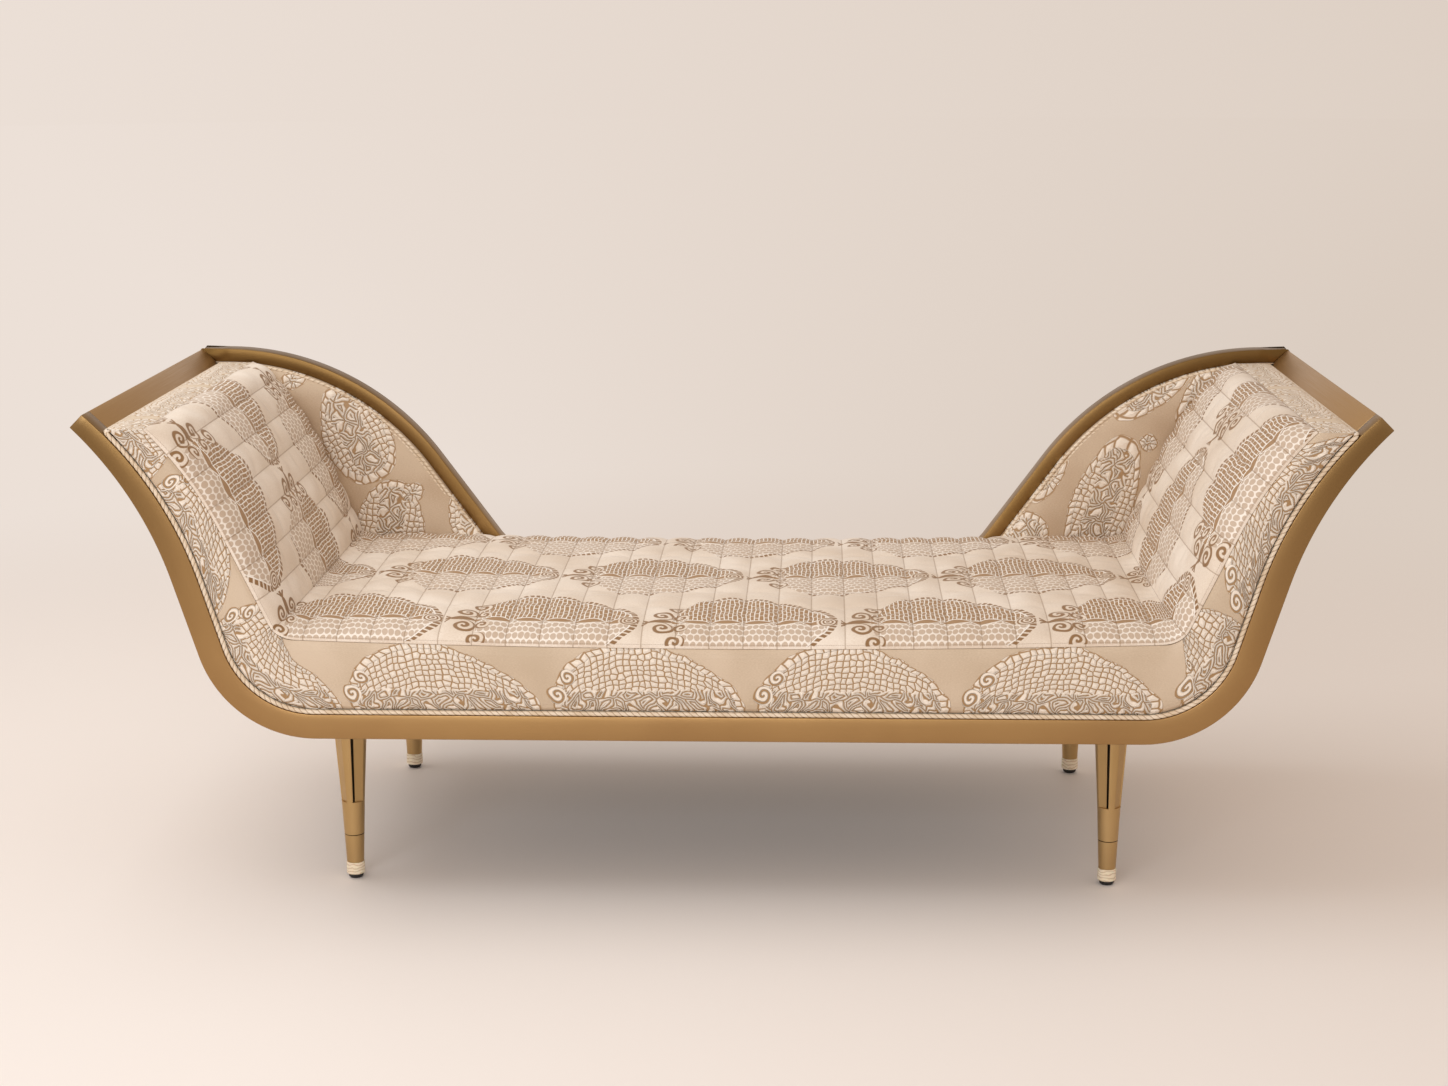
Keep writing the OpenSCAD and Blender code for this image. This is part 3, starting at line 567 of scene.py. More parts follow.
def cast_resin():
    """Cast resin, polished: ivory with faint darker veins, a soft gloss and a little depth."""
    finish, shader, add = new_finish("cast_resin_ivory", roughness=0.32)
    place = add("TexCoord", out="Object")
    wavy = add("TexNoise", place, 60.0, 4.0, out="Color")
    warped = add("VectorMath MULTIPLY_ADD", wavy, (0.012, 0.012, 0.012), place)
    vein = add("TexWave", warped, 55.0, 3.0, 3.0, bands_direction="Z", out="Fac")
    colour = add("Mix", add("MapRange", vein, 0.55, 1.0, 0.0, 0.7), linear(IVORY), linear(IVORY_VEIN),
                 data_type="RGBA")
    feed(shader, {"Base Color": colour, "Subsurface Weight": 0.12, "Subsurface Scale": 0.003})
    return finish


def moulded_nylon():
    """Moulded nylon: black and dull, with a fine grainy skin."""
    finish, shader, add = new_finish("moulded_black_nylon")
    grit = add("TexNoise", add("TexCoord", out="Object"), 900.0)
    feed(shader, {"Base Color": linear(NYLON), "Roughness": add("MapRange", grit, 0.3, 0.7, 0.35, 0.5),
                  "Normal": add("Bump", 0.1, 0.0002, put={"Height": grit})})
    return finish


resin = cast_resin()
nylon = moulded_nylon()
for corner, (side_x, side_y) in corners.items():
    keep_piece("ferrule_cap_" + corner, at_corner(make_ferrule(), side_x, side_y), resin,
               ["ferrule_" + corner])
    keep_piece("glide_foot_" + corner, at_corner(make_glide(), side_x, side_y), nylon,
               ["glide_" + corner], body="glide_" + corner)

# Arm shells and back panel
# Two bent shells of beech plywood carry the arms' padding, and a flat panel carries the back's. They
# are glued and stapled to the show frames, and sanded smooth.
refinished(planed_beech("sanded_beech_plywood", (1 / GRAIN, 1 / GRAIN_LENGTH, 1 / GRAIN_LENGTH)),
           "arm_shell_left", "arm_shell_right")
refinished(long_beech, "back_panel")

# Webbing, deck cloth, foam and filler
# Jute webbing is stretched over the seat frame and covered with cotton cloth. Cut foam lies on it and
# on the arm shells, and a felted wadding fills the wings.
JUTE = "#A98A5C"
JUTE_DARK = "#7F6540"
JUTE_PITCH = 0.004
COTTON = "#E3DBC8"
COTTON_DARK = "#CFC6B1"
COTTON_PITCH = 0.0012
FOAM = "#EDE6CF"
FOAM_CELL = 0.0018
WADDING = "#E6E0D4"


def plain_weave(name, pitch, light, dark):
    """Plain weave, drawn a little coarser than its thread so that it shows: matt, over and under."""
    finish, shader, add = new_finish(name, roughness=0.85)
    place = add("VectorMath SCALE", add("TexCoord", out="Object"), 1 / pitch)
    warp, weft = (add("TexWave", place, 0.5, 0.6, bands_direction=axis, out="Fac")
                  for axis in "XY")
    height = add("Math MULTIPLY", warp, weft)
    feed(shader, {"Base Color": add("Mix", height, linear(dark), linear(light), data_type="RGBA"),
                  "Normal": add("Bump", 0.6, 0.0006, put={"Height": height})})
    return finish


def cut_foam(name, cell, light):
    """Cut foam or felted wadding: matt and pale, with open cells in the cut face."""
    finish, shader, add = new_finish(name, roughness=0.9)
    pores = add("TexVoronoi", add("TexCoord", out="Object"), 1 / cell)
    feed(shader, {"Base Color": linear(light), "Normal": add("Bump", 0.5, 0.0008, put={"Height": pores})})
    return finish


refinished(plain_weave("woven_jute", JUTE_PITCH, JUTE, JUTE_DARK), "seat_webbing")
refinished(plain_weave("cotton_ticking", COTTON_PITCH, COTTON, COTTON_DARK), "deck_cloth")
refinished(cut_foam("cut_foam", FOAM_CELL, FOAM), "seat_foam", "arm_foam_left", "arm_foam_right")
refinished(cut_foam("felted_wadding", FOAM_CELL / 3, WADDING), "back_filler")

# The quilt's seam
# The quilted cover is sewn to the boxings along one line at the front: level along the seat with a
# slight rise, round the inner corner, up the arm and out along the flare. Every soft piece meets it.
SEAM_Z = 0.4305
SEAM_RISE = 0.011
SEAM_CORNER = 0.045
SEAM_LEAN = math.radians(25)
ARM_PAD = 0.113
knee_turn = math.pi / 2 - SEAM_LEAN
knee_z = SEAM_Z + SEAM_RISE
slope_start = turn((flare_x - ARM_PAD, flare_z), FLARE_RADIUS, 0, math.pi - SEAM_LEAN)(1)
knee_end_z = knee_z + SEAM_CORNER * (1 - math.cos(knee_turn))
knee_end_x = slope_start.x - (slope_start.y - knee_end_z) * math.tan(SEAM_LEAN)
knee_x = knee_end_x - SEAM_CORNER * math.sin(knee_turn)
knee_length = knee_x + knee_turn * SEAM_CORNER
slope_length = knee_length + (slope_start.y - knee_end_z) / math.cos(SEAM_LEAN)
seam_length = slope_length + (lean_at(arm_top_z) - SEAM_LEAN) * FLARE_RADIUS


def seam_lean_at(s):
    """The lean of the seam at a length s from its middle."""
    if s < knee_x:
        return math.pi / 2
    if s < knee_length:
        return math.pi / 2 - (s - knee_x) / SEAM_CORNER
    return SEAM_LEAN + max(0.0, s - slope_length) / FLARE_RADIUS


def seam_at(s, out=0.0):
    """The place at a length s from the middle of the seam, moved out square to it."""
    side, s = math.copysign(1, s), abs(s)
    lean = seam_lean_at(s)
    if s < knee_x:
        place = Vector((s, SEAM_Z + SEAM_RISE * (s / knee_x) ** 2))
    elif s < knee_length:
        place = turn((knee_x, knee_z + SEAM_CORNER), SEAM_CORNER, 0, -lean)(1)
    elif s < slope_length:
        rise = s - knee_length
        place = Vector((knee_end_x + rise * math.sin(SEAM_LEAN), knee_end_z + rise * math.cos(SEAM_LEAN)))
    else:
        place = turn((flare_x - ARM_PAD, flare_z), FLARE_RADIUS, 0, math.pi - lean)(1)
    place += out * Vector((-math.cos(lean), math.sin(lean)))
    return Vector((side * place.x, place.y))


def spread(ends, steps):
    """Numbers from end to end, with so many steps on each stretch."""
    places = [ends[0]]
    for first, last, count in zip(ends, ends[1:], steps):
        places += [first + (last - first) * (i + 1) / count for i in range(count)]
    return places


# Quilted cover
# One cloth of satin jacquard over wadding, sewn through in channels from front to back, lies over
# both arms and the seat. Its front edge is felled, with a stitch line four millimetres in.
CHANNELS = 41
CHANNEL_SHARES = (0.0, 0.07, 0.22, 0.5, 0.78, 0.93)
QUILT_EDGE = 0.003
CROWN = 0.036
CROWN_FALL = 4.5
END_FALL = 0.055
GROOVE = 0.0042
CORNER_EASE = 0.3
CORNER_EASE_LENGTH = 0.150
EDGE_ROWS = (0.0, 0.001, 0.0022, 0.0034, 0.0044, 0.0066)
ROW_PITCH = 0.0105
FELL = 0.0004
PUFF_LIMIT = 0.005
PUFF_PRESSURE = 4.0
SIM_FRAMES = 20
quilt_low, quilt_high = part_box("quilted_cover")
box_y = quilt_low.y
pad_y = quilt_high.y
mid_y = (box_y + pad_y) / 2
half_depth = (pad_y - box_y) / 2
channel = 2 * seam_length / CHANNELS


def across_quilt():
    """Places across the quilt, evenly spaced along its crown: share of half the depth, cloth length."""
    fine = 4000
    shares = [math.sin(math.pi / 2 * (2 * i / fine - 1)) for i in range(fine + 1)]
    lengths = [0.0]
    for a, b in zip(shares, shares[1:]):
        rise = CROWN * ((1 - abs(b) ** CROWN_FALL) ** 0.5 - (1 - abs(a) ** CROWN_FALL) ** 0.5)
        lengths.append(lengths[-1] + math.hypot(half_depth * (b - a), rise))
    whole = lengths[-1]
    inner = round((whole - 2 * EDGE_ROWS[-1]) / ROW_PITCH)
    wanted = list(EDGE_ROWS) + [EDGE_ROWS[-1] + (whole - 2 * EDGE_ROWS[-1]) * (i + 1) / inner
                                for i in range(inner - 1)] + [whole - e for e in EDGE_ROWS[::-1]]
    places, k = [], 0
    for length in wanted:
        while k < fine - 1 and lengths[k + 1] < length:
            k += 1
        step = (length - lengths[k]) / (lengths[k + 1] - lengths[k])
        places.append((shares[k] + (shares[k + 1] - shares[k]) * min(1, step), length - whole / 2))
    return places


def quilt_height(s, share, v, half_width):
    """How far the quilt's face stands off its seam line."""
    ease = 1 - CORNER_EASE * max(0, 1 - abs(abs(s) - (knee_x + knee_length) / 2) / CORNER_EASE_LENGTH)
    to_end = min(1, (seam_length - abs(s)) / END_FALL)
    end = (1 - (1 - to_end) ** 2.6) ** 0.5
    crown = (max(0, 1 - abs(share) ** CROWN_FALL)) ** 0.5 * end
    groove = abs(2 * (((s + seam_length) / channel) % 1) - 1) ** 3
    from_edge = half_width - abs(v)
    fell = FELL * math.sin(math.pi * min(1, from_edge / EDGE_ROWS[-2])) if v < 0 else 0
    edge = QUILT_EDGE * (0.2 + 0.8 * min(1, from_edge / QUILT_EDGE))
    return edge + crown * (CROWN * ease - GROOVE * groove) + fell


def make_quilt():
    """The quilt's face over its lining, which lies on the seam's line and is held fast all over."""
    rows = across_quilt()
    columns = [(k + share) * channel - seam_length for k in range(CHANNELS) for share in CHANNEL_SHARES]
    columns.append(seam_length)
    half_width = rows[-1][1]
    quilt = bmesh.new()
    cut = quilt.loops.layers.uv.new("cut")
    weight = quilt.verts.layers.deform.verify()
    bmesh.ops.create_grid(quilt, x_segments=len(columns) - 1, y_segments=len(rows) - 1, size=0.5)
    flat = {}
    for v in quilt.verts:
        i = round((v.co.x + 0.5) * (len(columns) - 1))
        share, length = rows[round((v.co.y + 0.5) * (len(rows) - 1))]
        place = seam_at(columns[i], quilt_height(columns[i], share, length, half_width))
        flat[v] = (columns[i], length)
        v.co = (place.x, mid_y + share * half_depth, place.y)
    for face in smoothed(quilt).faces:
        for corner in face.loops:
            corner[cut].uv = flat[corner.vert]
    under = {}
    for v, (s, length) in flat.items():
        under[tuple(v.co)] = seam_at(s)
        on_line = abs(math.remainder(s + seam_length, channel)) < WELD
        if on_line or half_width - abs(length) < EDGE_ROWS[-1] + WELD:
            v[weight][0] = 1.0
    wadding = bmesh.ops.extrude_face_region(quilt, geom=quilt.faces[:])["geom"]
    lining = [g for g in wadding if isinstance(g, bmesh.types.BMVert)]
    for v in lining:
        place = under[tuple(v.co)]
        v.co = (place.x, v.co.y, place.y)
        v[weight][0] = 1.0
    inside = set(lining)
    lines = [e for e in quilt.edges if e.verts[0] in inside and e.verts[1] in inside
             and abs(e.verts[0].co.y - e.verts[1].co.y) < 1e-6
             and all(v in inside for f in e.link_faces for v in f.verts)]
    bmesh.ops.dissolve_edges(quilt, edges=lines, use_verts=True)
    bmesh.ops.recalc_face_normals(quilt, faces=quilt.faces)
    return quilt


def puffed(piece):
    """Lets a quilt swell between the places where it is sewn, and keeps the swollen shape."""
    group = piece.vertex_groups.new(name="sewn")
    cloth = piece.modifiers.new("puff", "CLOTH")
    cloth.settings.quality = 5
    cloth.settings.mass = 0.25
    cloth.settings.tension_stiffness = 12
    cloth.settings.compression_stiffness = 12
    cloth.settings.shear_stiffness = 4
    cloth.settings.bending_stiffness = 0.4
    cloth.settings.vertex_group_mass = "sewn"
    cloth.settings.use_pressure = True
    cloth.settings.uniform_pressure_force = PUFF_PRESSURE
    cloth.settings.shrink_min = -0.018
    cloth.settings.effector_weights.gravity = 0
    cloth.point_cache.frame_start = 1
    cloth.point_cache.frame_end = SIM_FRAMES
    for i in range(1, SIM_FRAMES + 1):
        bpy.context.scene.frame_set(i)
    view = bpy.context.evaluated_depsgraph_get()
    swollen = [v.co.copy() for v in piece.evaluated_get(view).to_mesh().vertices]
    piece.modifiers.remove(cloth)
    piece.vertex_groups.remove(group)
    bpy.context.scene.frame_set(1)
    for v, place in zip(piece.data.vertices, swollen):
        move = place - v.co
        v.co += move * min(1, PUFF_LIMIT / max(move.length, 1e-9))


PAISLEY_REPEAT = (0.325, 0.288, 1.0)
PAISLEY_FIRST = (0.186, -0.029, 0.0)
PAISLEY_HALF_LENGTH = 0.158
PAISLEY_HALF_WIDTH = 0.131
PAISLEY_TAPER = 2.6
FULLNESS = 2.4
DASH_PITCH = 0.0098
DASH_DEPTH = 0.0100
RIM_DEPTH = 0.0125
CELL = 0.0106
CELL_LENGTH = 0.0160
BRICK_PITCH = 0.0073
BRICK_LENGTH = 0.0190
CELL_SHADE = 0.72
NET_SHADES = (0.95, 0.62)
MORTAR = 0.0011
LEAF_LENGTH = 0.050
LEAF_WIDTH = 0.007
LEAF_GAP = 0.0029
LEAF_EDGE = 0.0003
HEAD_END = -0.114
HEAD_BEND = -4.0
SCROLLS = (((-0.130, 0.025), 0.0195, 0.0120, 0.54), ((-0.108, 0.060), 0.0180, 0.0115, 0.52),
           ((-0.100, 0.020), 0.0140, 0.0105, 0.50), ((0.140, 0.0), 0.0175, 0.0062, 0.50))
BOW = (-0.1545, -0.1495)
BOW_REACH = 0.03
SPRIG_START = -0.134
SPRIG_LENGTH = 0.021
SPRIG_SLENDER = 3.4
STEM = (-0.172, -0.150)
STEM_HALF_WIDTH = 0.003
STITCH_PITCH = 0.0036
STITCH_LINE = (0.0040, 0.0047)
FELL_SEAM = 0.0024
SEWN_WIDTH = 0.0013
PUCKER_WAVES = (14.0, 150.0, 0.0)
PUCKER_REACH = 0.014
SATIN_LIGHT = "#EEE2D4"
SATIN_SHADE = "#DCCBB8"
SATIN_CREAM = "#F8F1E8"
SATIN_TAUPE = "#A37F57"
SATIN_BROWN = "#8D6941"
# painted shade for the sewn lines and stitches
SEWN_PAINTED_SHADE = "#8C693F"
THREAD = 0.0012


def motif_place(add, cloth, first, repeat):
    """Each place's offset from the middle of its paisley; rows are set half a repeat apart."""
    counted = add("VectorMath DIVIDE", add("VectorMath SUBTRACT", cloth, first), repeat)
    row = add("Math ROUND", add("SeparateXYZ", counted, out="Y"))
    slid = add("VectorMath ADD", counted, add("CombineXYZ", add("Math MULTIPLY", row, 0.5)))
    nearest = add("VectorMath FLOOR", add("VectorMath ADD", slid, (0.5, 0.5, 0.5)))
    return add("VectorMath MULTIPLY", add("VectorMath SUBTRACT", slid, nearest), repeat)


def hand_drawn(add, cloth, waves, stray):
    """Cloth places that stray a little, so that no figure looks ruled."""
    loose = add("TexNoise", cloth, waves, 1.0, out="Color", noise_dimensions="2D")
    drift = add("VectorMath SUBTRACT", loose, (0.5, 0.5, 0.5))
    return add("VectorMath MULTIPLY_ADD", drift, (stray, stray, 0.0), cloth)


def paisley(add, place, half_length, half_width, taper):
    """A paisley's own measures: along it, beside its middle line, how deep inside its outline, and
    how far round it, all in metres."""
    along = add("SeparateXYZ", place, out="X")
    beside = add("SeparateXYZ", place, out="Y")
    ahead = add("Math MAXIMUM", along, 0.0)
    width = add("Math MULTIPLY_ADD", ahead, -taper * half_width, half_width)
    shape = add("CombineXYZ", add("Math DIVIDE", along, half_length), add("Math DIVIDE", beside, width))
    raised = add("VectorMath POWER", add("VectorMath ABSOLUTE", shape), (FULLNESS, FULLNESS, 1))
    reach = add("Math POWER", add("VectorMath DOT_PRODUCT", raised, (1, 1, 0)), 1 / FULLNESS)
    depth = add("Math MULTIPLY_ADD", reach, -half_width, half_width)
    angle = add("Math ARCTAN2", beside, along)
    return along, beside, depth, add("Math MULTIPLY", angle, half_width)


def within(add, value, low, high, soft=0.0004):
    """One where a value lies between two others, with a soft edge, and zero elsewhere."""
    entered = add("MapRange", value, low - soft, low + soft)
    left = add("MapRange", value, high - soft, high + soft)
    return add("Math SUBTRACT", entered, left)


def repeating(add, value, pitch, shift=0.0):
    """How far through its repeat a value is, from zero to one."""
    return add("Math FRACT", add("Math MULTIPLY_ADD", value, 1 / pitch, shift))


def scrolls(add, along, beside, centre, radius, pitch, thick=0.5):
    """A pair of coiled scrolls, one on each side of the middle line: their disc and their line."""
    x = add("Math SUBTRACT", along, centre[0])
    y = add("Math SUBTRACT", add("Math ABSOLUTE", beside), centre[1])
    away = add("VectorMath LENGTH", add("CombineXYZ", x, y))
    turns = add("Math MULTIPLY", add("Math ARCTAN2", y, x), 1 / math.tau)
    coil = add("Math FRACT", add("Math MULTIPLY_ADD", away, 1 / pitch, turns))
    disc = add("MapRange", away, radius, radius - 0.0008)
    line = add("Math MULTIPLY", within(add, coil, 0.5 - thick / 2, 0.5 + thick / 2, 0.07), disc)
    return disc, line


def woven_satin(add, shader, cloth, ground, figures, relief, depth):
    """Colours a satin: a ground of two tones that drift, figures woven over it, and their relief."""
    fine = add("VectorMath MULTIPLY", cloth, (0.35 / THREAD, 1 / THREAD, 0.0))
    weave = add("TexNoise", fine, 1.0, 1.0, noise_dimensions="2D")
    cloud = add("TexNoise", cloth, 7.0, 2.0, noise_dimensions="2D")
    tone = add("Math MULTIPLY_ADD", weave, 0.5, cloud)
    colour = add("Mix", add("MapRange", tone, 0.55, 0.95), linear(ground[0]), linear(ground[1]),
                 data_type="RGBA")
    for mask, hue in figures:
        colour = add("Mix", mask, colour, linear(hue), data_type="RGBA")
    height = add("Math MULTIPLY_ADD", weave, 0.1, relief)
    feed(shader, {"Base Color": colour, "Roughness": add("MapRange", relief, 0.0, 1.0, 0.5, 0.37),
                  "Normal": add("Bump", 1.0, depth, put={"Height": height}),
                  "Sheen Weight": 0.08, "Sheen Roughness": 0.4})


def quilted_satin(half_width):
    """Woven satin jacquard: soft gloss, taupe cells in a glossier cream net, and painted shade darkening
    its sewn lines.
    """
    finish, shader, add = new_finish("woven_satin_jacquard_quilted")
    cloth = add("TexCoord", out="UV")
    woven = hand_drawn(add, cloth, 30.0, 0.006)
    place = motif_place(add, woven, PAISLEY_FIRST, PAISLEY_REPEAT)
    along, beside, depth, around = paisley(add, place, PAISLEY_HALF_LENGTH, PAISLEY_HALF_WIDTH,
                                           PAISLEY_TAPER)
    aside = add("Math ABSOLUTE", beside)
    # round cells on the near half, bricks on the far half, a chain of leaves between them
    cell = motif_place(add, woven, (0.0, 0.0, 0.0), (CELL, CELL_LENGTH, 1.0))
    off_cell = add("VectorMath LENGTH", add("VectorMath MULTIPLY", cell, (1 / CELL, 1 / CELL_LENGTH, 0.0)))
    cells = add("MapRange", off_cell, 0.5, 0.42, 0.0, CELL_SHADE)
    bricks = add("TexBrick", add("CombineXYZ", beside, along),
                 put={"Scale": 1.0, "Mortar Size": MORTAR, "Mortar Smooth": 0.3,
                      "Brick Width": BRICK_LENGTH, "Row Height": BRICK_PITCH}, out="Fac")
    near = add("MapRange", beside, -0.0055, -0.0065)
    fill = add("Mix", near, add("Math SUBTRACT", 1.0, bricks), cells)
    net = add("MapRange", near, 0.0, 1.0, *NET_SHADES)
    wave = add("Math SINE", add("Math MULTIPLY", along, math.pi / LEAF_LENGTH))
    leaf = add("Math MULTIPLY_ADD", add("Math ABSOLUTE", wave), -LEAF_WIDTH, aside)
    for line, value in ((LEAF_GAP, 0.0), (LEAF_EDGE, 1.0)):
        fill = add("Mix", add("MapRange", leaf, line + LEAF_EDGE, line - LEAF_EDGE), fill, value)
    field = add("MapRange", depth, RIM_DEPTH, RIM_DEPTH + 0.0006)
    taupe = add("Math MULTIPLY", fill, field)
    bare = add("Math MULTIPLY", add("Math SUBTRACT", 1.0, fill), field)
    cream = add("Math MAXIMUM", add("Math MULTIPLY", bare, net), within(add, depth, DASH_DEPTH, RIM_DEPTH))
    brown = add("Math MULTIPLY", within(add, repeating(add, around, DASH_PITCH), 0.17, 0.83, 0.06),
                within(add, depth, 0.0006, DASH_DEPTH))
    # scrolls, a bow and a sprig stand free at the stem, and a ringed curl at the tip
    bent = add("Math MULTIPLY_ADD", add("Math MULTIPLY", beside, beside), HEAD_BEND, along)
    head = add("MapRange", bent, HEAD_END, HEAD_END - 0.001)
    body = add("Math SUBTRACT", 1.0, head)
    taupe, cream, brown = (add("Math MULTIPLY", mask, body) for mask in (taupe, cream, brown))
    for scroll in SCROLLS:
        disc, line = scrolls(add, along, beside, *scroll)
        brown = add("Mix", disc, brown, line)
        taupe, cream = (add("Mix", disc, mask, 0.0) for mask in (taupe, cream))
    bow = add("Math MULTIPLY", within(add, add("Math ADD", bent, aside), *BOW),
              within(add, aside, -0.01, BOW_REACH))
    off_sprig = add("VectorMath LENGTH", add("CombineXYZ", add("Math ADD", along, -SPRIG_START),
                                             add("Math MULTIPLY", beside, SPRIG_SLENDER)))
    sprig = add("MapRange", off_sprig, SPRIG_LENGTH, SPRIG_LENGTH - 0.001)
    stem = add("Math MULTIPLY", within(add, beside, -STEM_HALF_WIDTH, STEM_HALF_WIDTH),
               within(add, along, *STEM))
    brown = add("Math MAXIMUM", brown, add("Math MAXIMUM", add("Math MAXIMUM", bow, sprig), stem))
    # sewn channels, a cord line between the rows of paisleys, the felled edge; painted shade darkens the
    # sewn lines, the stitches and one side of each cord line
    s = add("SeparateXYZ", cloth, out="X")
    v = add("SeparateXYZ", cloth, out="Y")
    centred = add("Math SUBTRACT", repeating(add, s, channel), 0.5)
    off_seam = add("Math MULTIPLY", add("Math ABSOLUTE", centred), channel)
    row_share = repeating(add, v, PAISLEY_REPEAT[1], -PAISLEY_FIRST[1] / PAISLEY_REPEAT[1])
    row_line = within(add, row_share, 0.497, 0.503, 0.001)
    # painted shadow: a darker line beside each cord line
    row_painted_shadow = within(add, row_share, 0.492, 0.497, 0.001)
    from_edge = add("Math ADD", v, half_width)
    fell = add("MapRange", from_edge, FELL_SEAM + 0.0002, FELL_SEAM - 0.0002)
    stitched = add("Math MULTIPLY", within(add, repeating(add, s, STITCH_PITCH), 0.1, 0.9, 0.05),
                   within(add, from_edge, *STITCH_LINE, 0.0003))
    plain = add("Math SUBTRACT", 1.0, fell)
    taupe, brown, cream = (add("Math MULTIPLY", mask, plain) for mask in (taupe, brown, cream))
    cream = add("Math MAXIMUM", cream, add("Math MULTIPLY", row_line, 0.7))
    # painted shade: darker along the channel seams and the stitches
    sewn = add("Math MAXIMUM", add("MapRange", off_seam, SEWN_WIDTH, SEWN_WIDTH - 0.0007), stitched)
    sewn = add("Math MULTIPLY_ADD", row_painted_shadow, 0.5, sewn, use_clamp=True)
    sewn = add("Math MULTIPLY", sewn, 0.5)
    # puckers run square to each sewn line and die out beside it
    stretched = add("VectorMath MULTIPLY", cloth, PUCKER_WAVES)
    pucker = add("TexNoise", stretched, 1.0, 1.0, noise_dimensions="2D")
    pull = add("Math MULTIPLY", pucker, add("MapRange", off_seam, 0.0, PUCKER_REACH, 1.5, 0.0))
    sunk = add("Math MULTIPLY_ADD", add("Math MAXIMUM", taupe, brown), -0.35, pull)
    relief = add("Math MULTIPLY_ADD", cream, 0.45, sunk)
    relief = add("Math MULTIPLY_ADD", sewn, -0.8, relief)
    woven_satin(add, shader, cloth, (SATIN_SHADE, SATIN_LIGHT),
                ((brown, SATIN_BROWN), (taupe, SATIN_TAUPE), (cream, SATIN_CREAM), (sewn, SEWN_PAINTED_SHADE)),
                relief, 0.0009)
    return finish


quilt = keep_piece("quilt", make_quilt(), quilted_satin(across_quilt()[-1][1]),
                   ["quilted_cover"])
puffed(quilt)
finer = quilt.modifiers.new("finer", "SUBSURF")
finer.levels = finer.render_levels = 1

# Front and end boxings
# Strips of raised jacquard over wadding fill the room between the quilt's seam and the welt: one
# along the front and up both arms, and a level one on each arm's end. Each swells between its seams.
BOX_STEPS = [88, 14, 28, 44]
BOX_ROWS = 16
END_GRID = (10, 90)
BOX_SWELL = 0.0075
BOX_TUCK = 0.0045
BOX_TUCKED = 6
END_SWELL = 0.0035
BOXING_REPEAT = (0.339, 10.0, 1.0)
BOXING_FIRST = (0.211, 0.0, 0.0)
BOXING_HALF_LENGTH = 0.160
BOXING_HALF_WIDTH = 0.118
BOXING_TAPER = 2.6
PEBBLE = 0.0108
PEBBLE_BEND = 2.2
PEBBLE_BAND = 0.040
PEBBLE_ORDER = 0.36
MAZE_WAVES = 45.0
MAZE_STRAY = 0.019
MAZE_SIZE = 0.42
MAZE_RINGS = 4.0
BOXING_LIGHT = "#D2BEA6"
BOXING_SHADE = "#C4AF95"
BOXING_CREAM = "#F1E5D6"
BOXING_BROWN = "#A6835A"
END_LIGHT = "#E0CEB7"
END_SHADE = "#D4C0A5"
END_BROWN = "#BB9A70"
RAISED_DEPTH = 0.0023
END_DEPTH = 0.0014
PIECED = -0.627
PIECED_SHARE = 0.45
CLOSED_FROM = 0.745
CLOSED_TO = 0.872
CLOSED_BY = 0.19
BOXING_SCROLLS = (((-0.150, 0.030), 0.017, 0.010, 0.55), ((-0.128, 0.060), 0.014, 0.009, 0.55))
WELT_RADIUS = 0.004
CORD_GAP = 0.00015
welt_room = 2 * (WELT_RADIUS + CORD_GAP)
foam_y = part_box("front_boxing")[1].y
end_box_low, end_box_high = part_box("end_boxing_right")


def swell(share, height, sharpness=2.6):
    """A padded strip's rise between its two sewn edges."""
    return height * max(0.0, 1 - abs(2 * share - 1) ** sharpness) ** 0.62


def seam_points(steps):
    return [seam_at(s) for s in spread([0, knee_x, knee_length, slope_length, seam_length], steps)]


def make_front_boxing():
    low = points_on(side_line(board_shift, welt_room, lean_at(arm_top_z, welt_room)), BOX_STEPS)

    def rise(run, share):
        return box_y + BOX_TUCK * max(0, 1 - BOX_TUCKED * share) ** 2 - swell(share, BOX_SWELL)
    strip = ribbon(low, seam_points(BOX_STEPS), BOX_ROWS, rise)
    return grown(both_sides(strip), lambda p: Vector((p.x, foam_y, p.z)))


def make_end_boxing():
    inner_x = seam_at(seam_length).x
    columns, rows = END_GRID

    def place(i, j):
        across, along = i / columns, j / rows
        x = inner_x + (end_box_high.x - inner_x) * across
        y = box_y + (pad_y - box_y) * along
        ends = min(1, 12 * min(along, 1 - along)) ** 0.5
        return (x, y, arm_top_z + swell(across, END_SWELL) * ends), (y, x - inner_x)
    return grown(sheet(columns, rows, place), lambda p: Vector((p.x, max(p.y, box_y), end_box_low.z)))


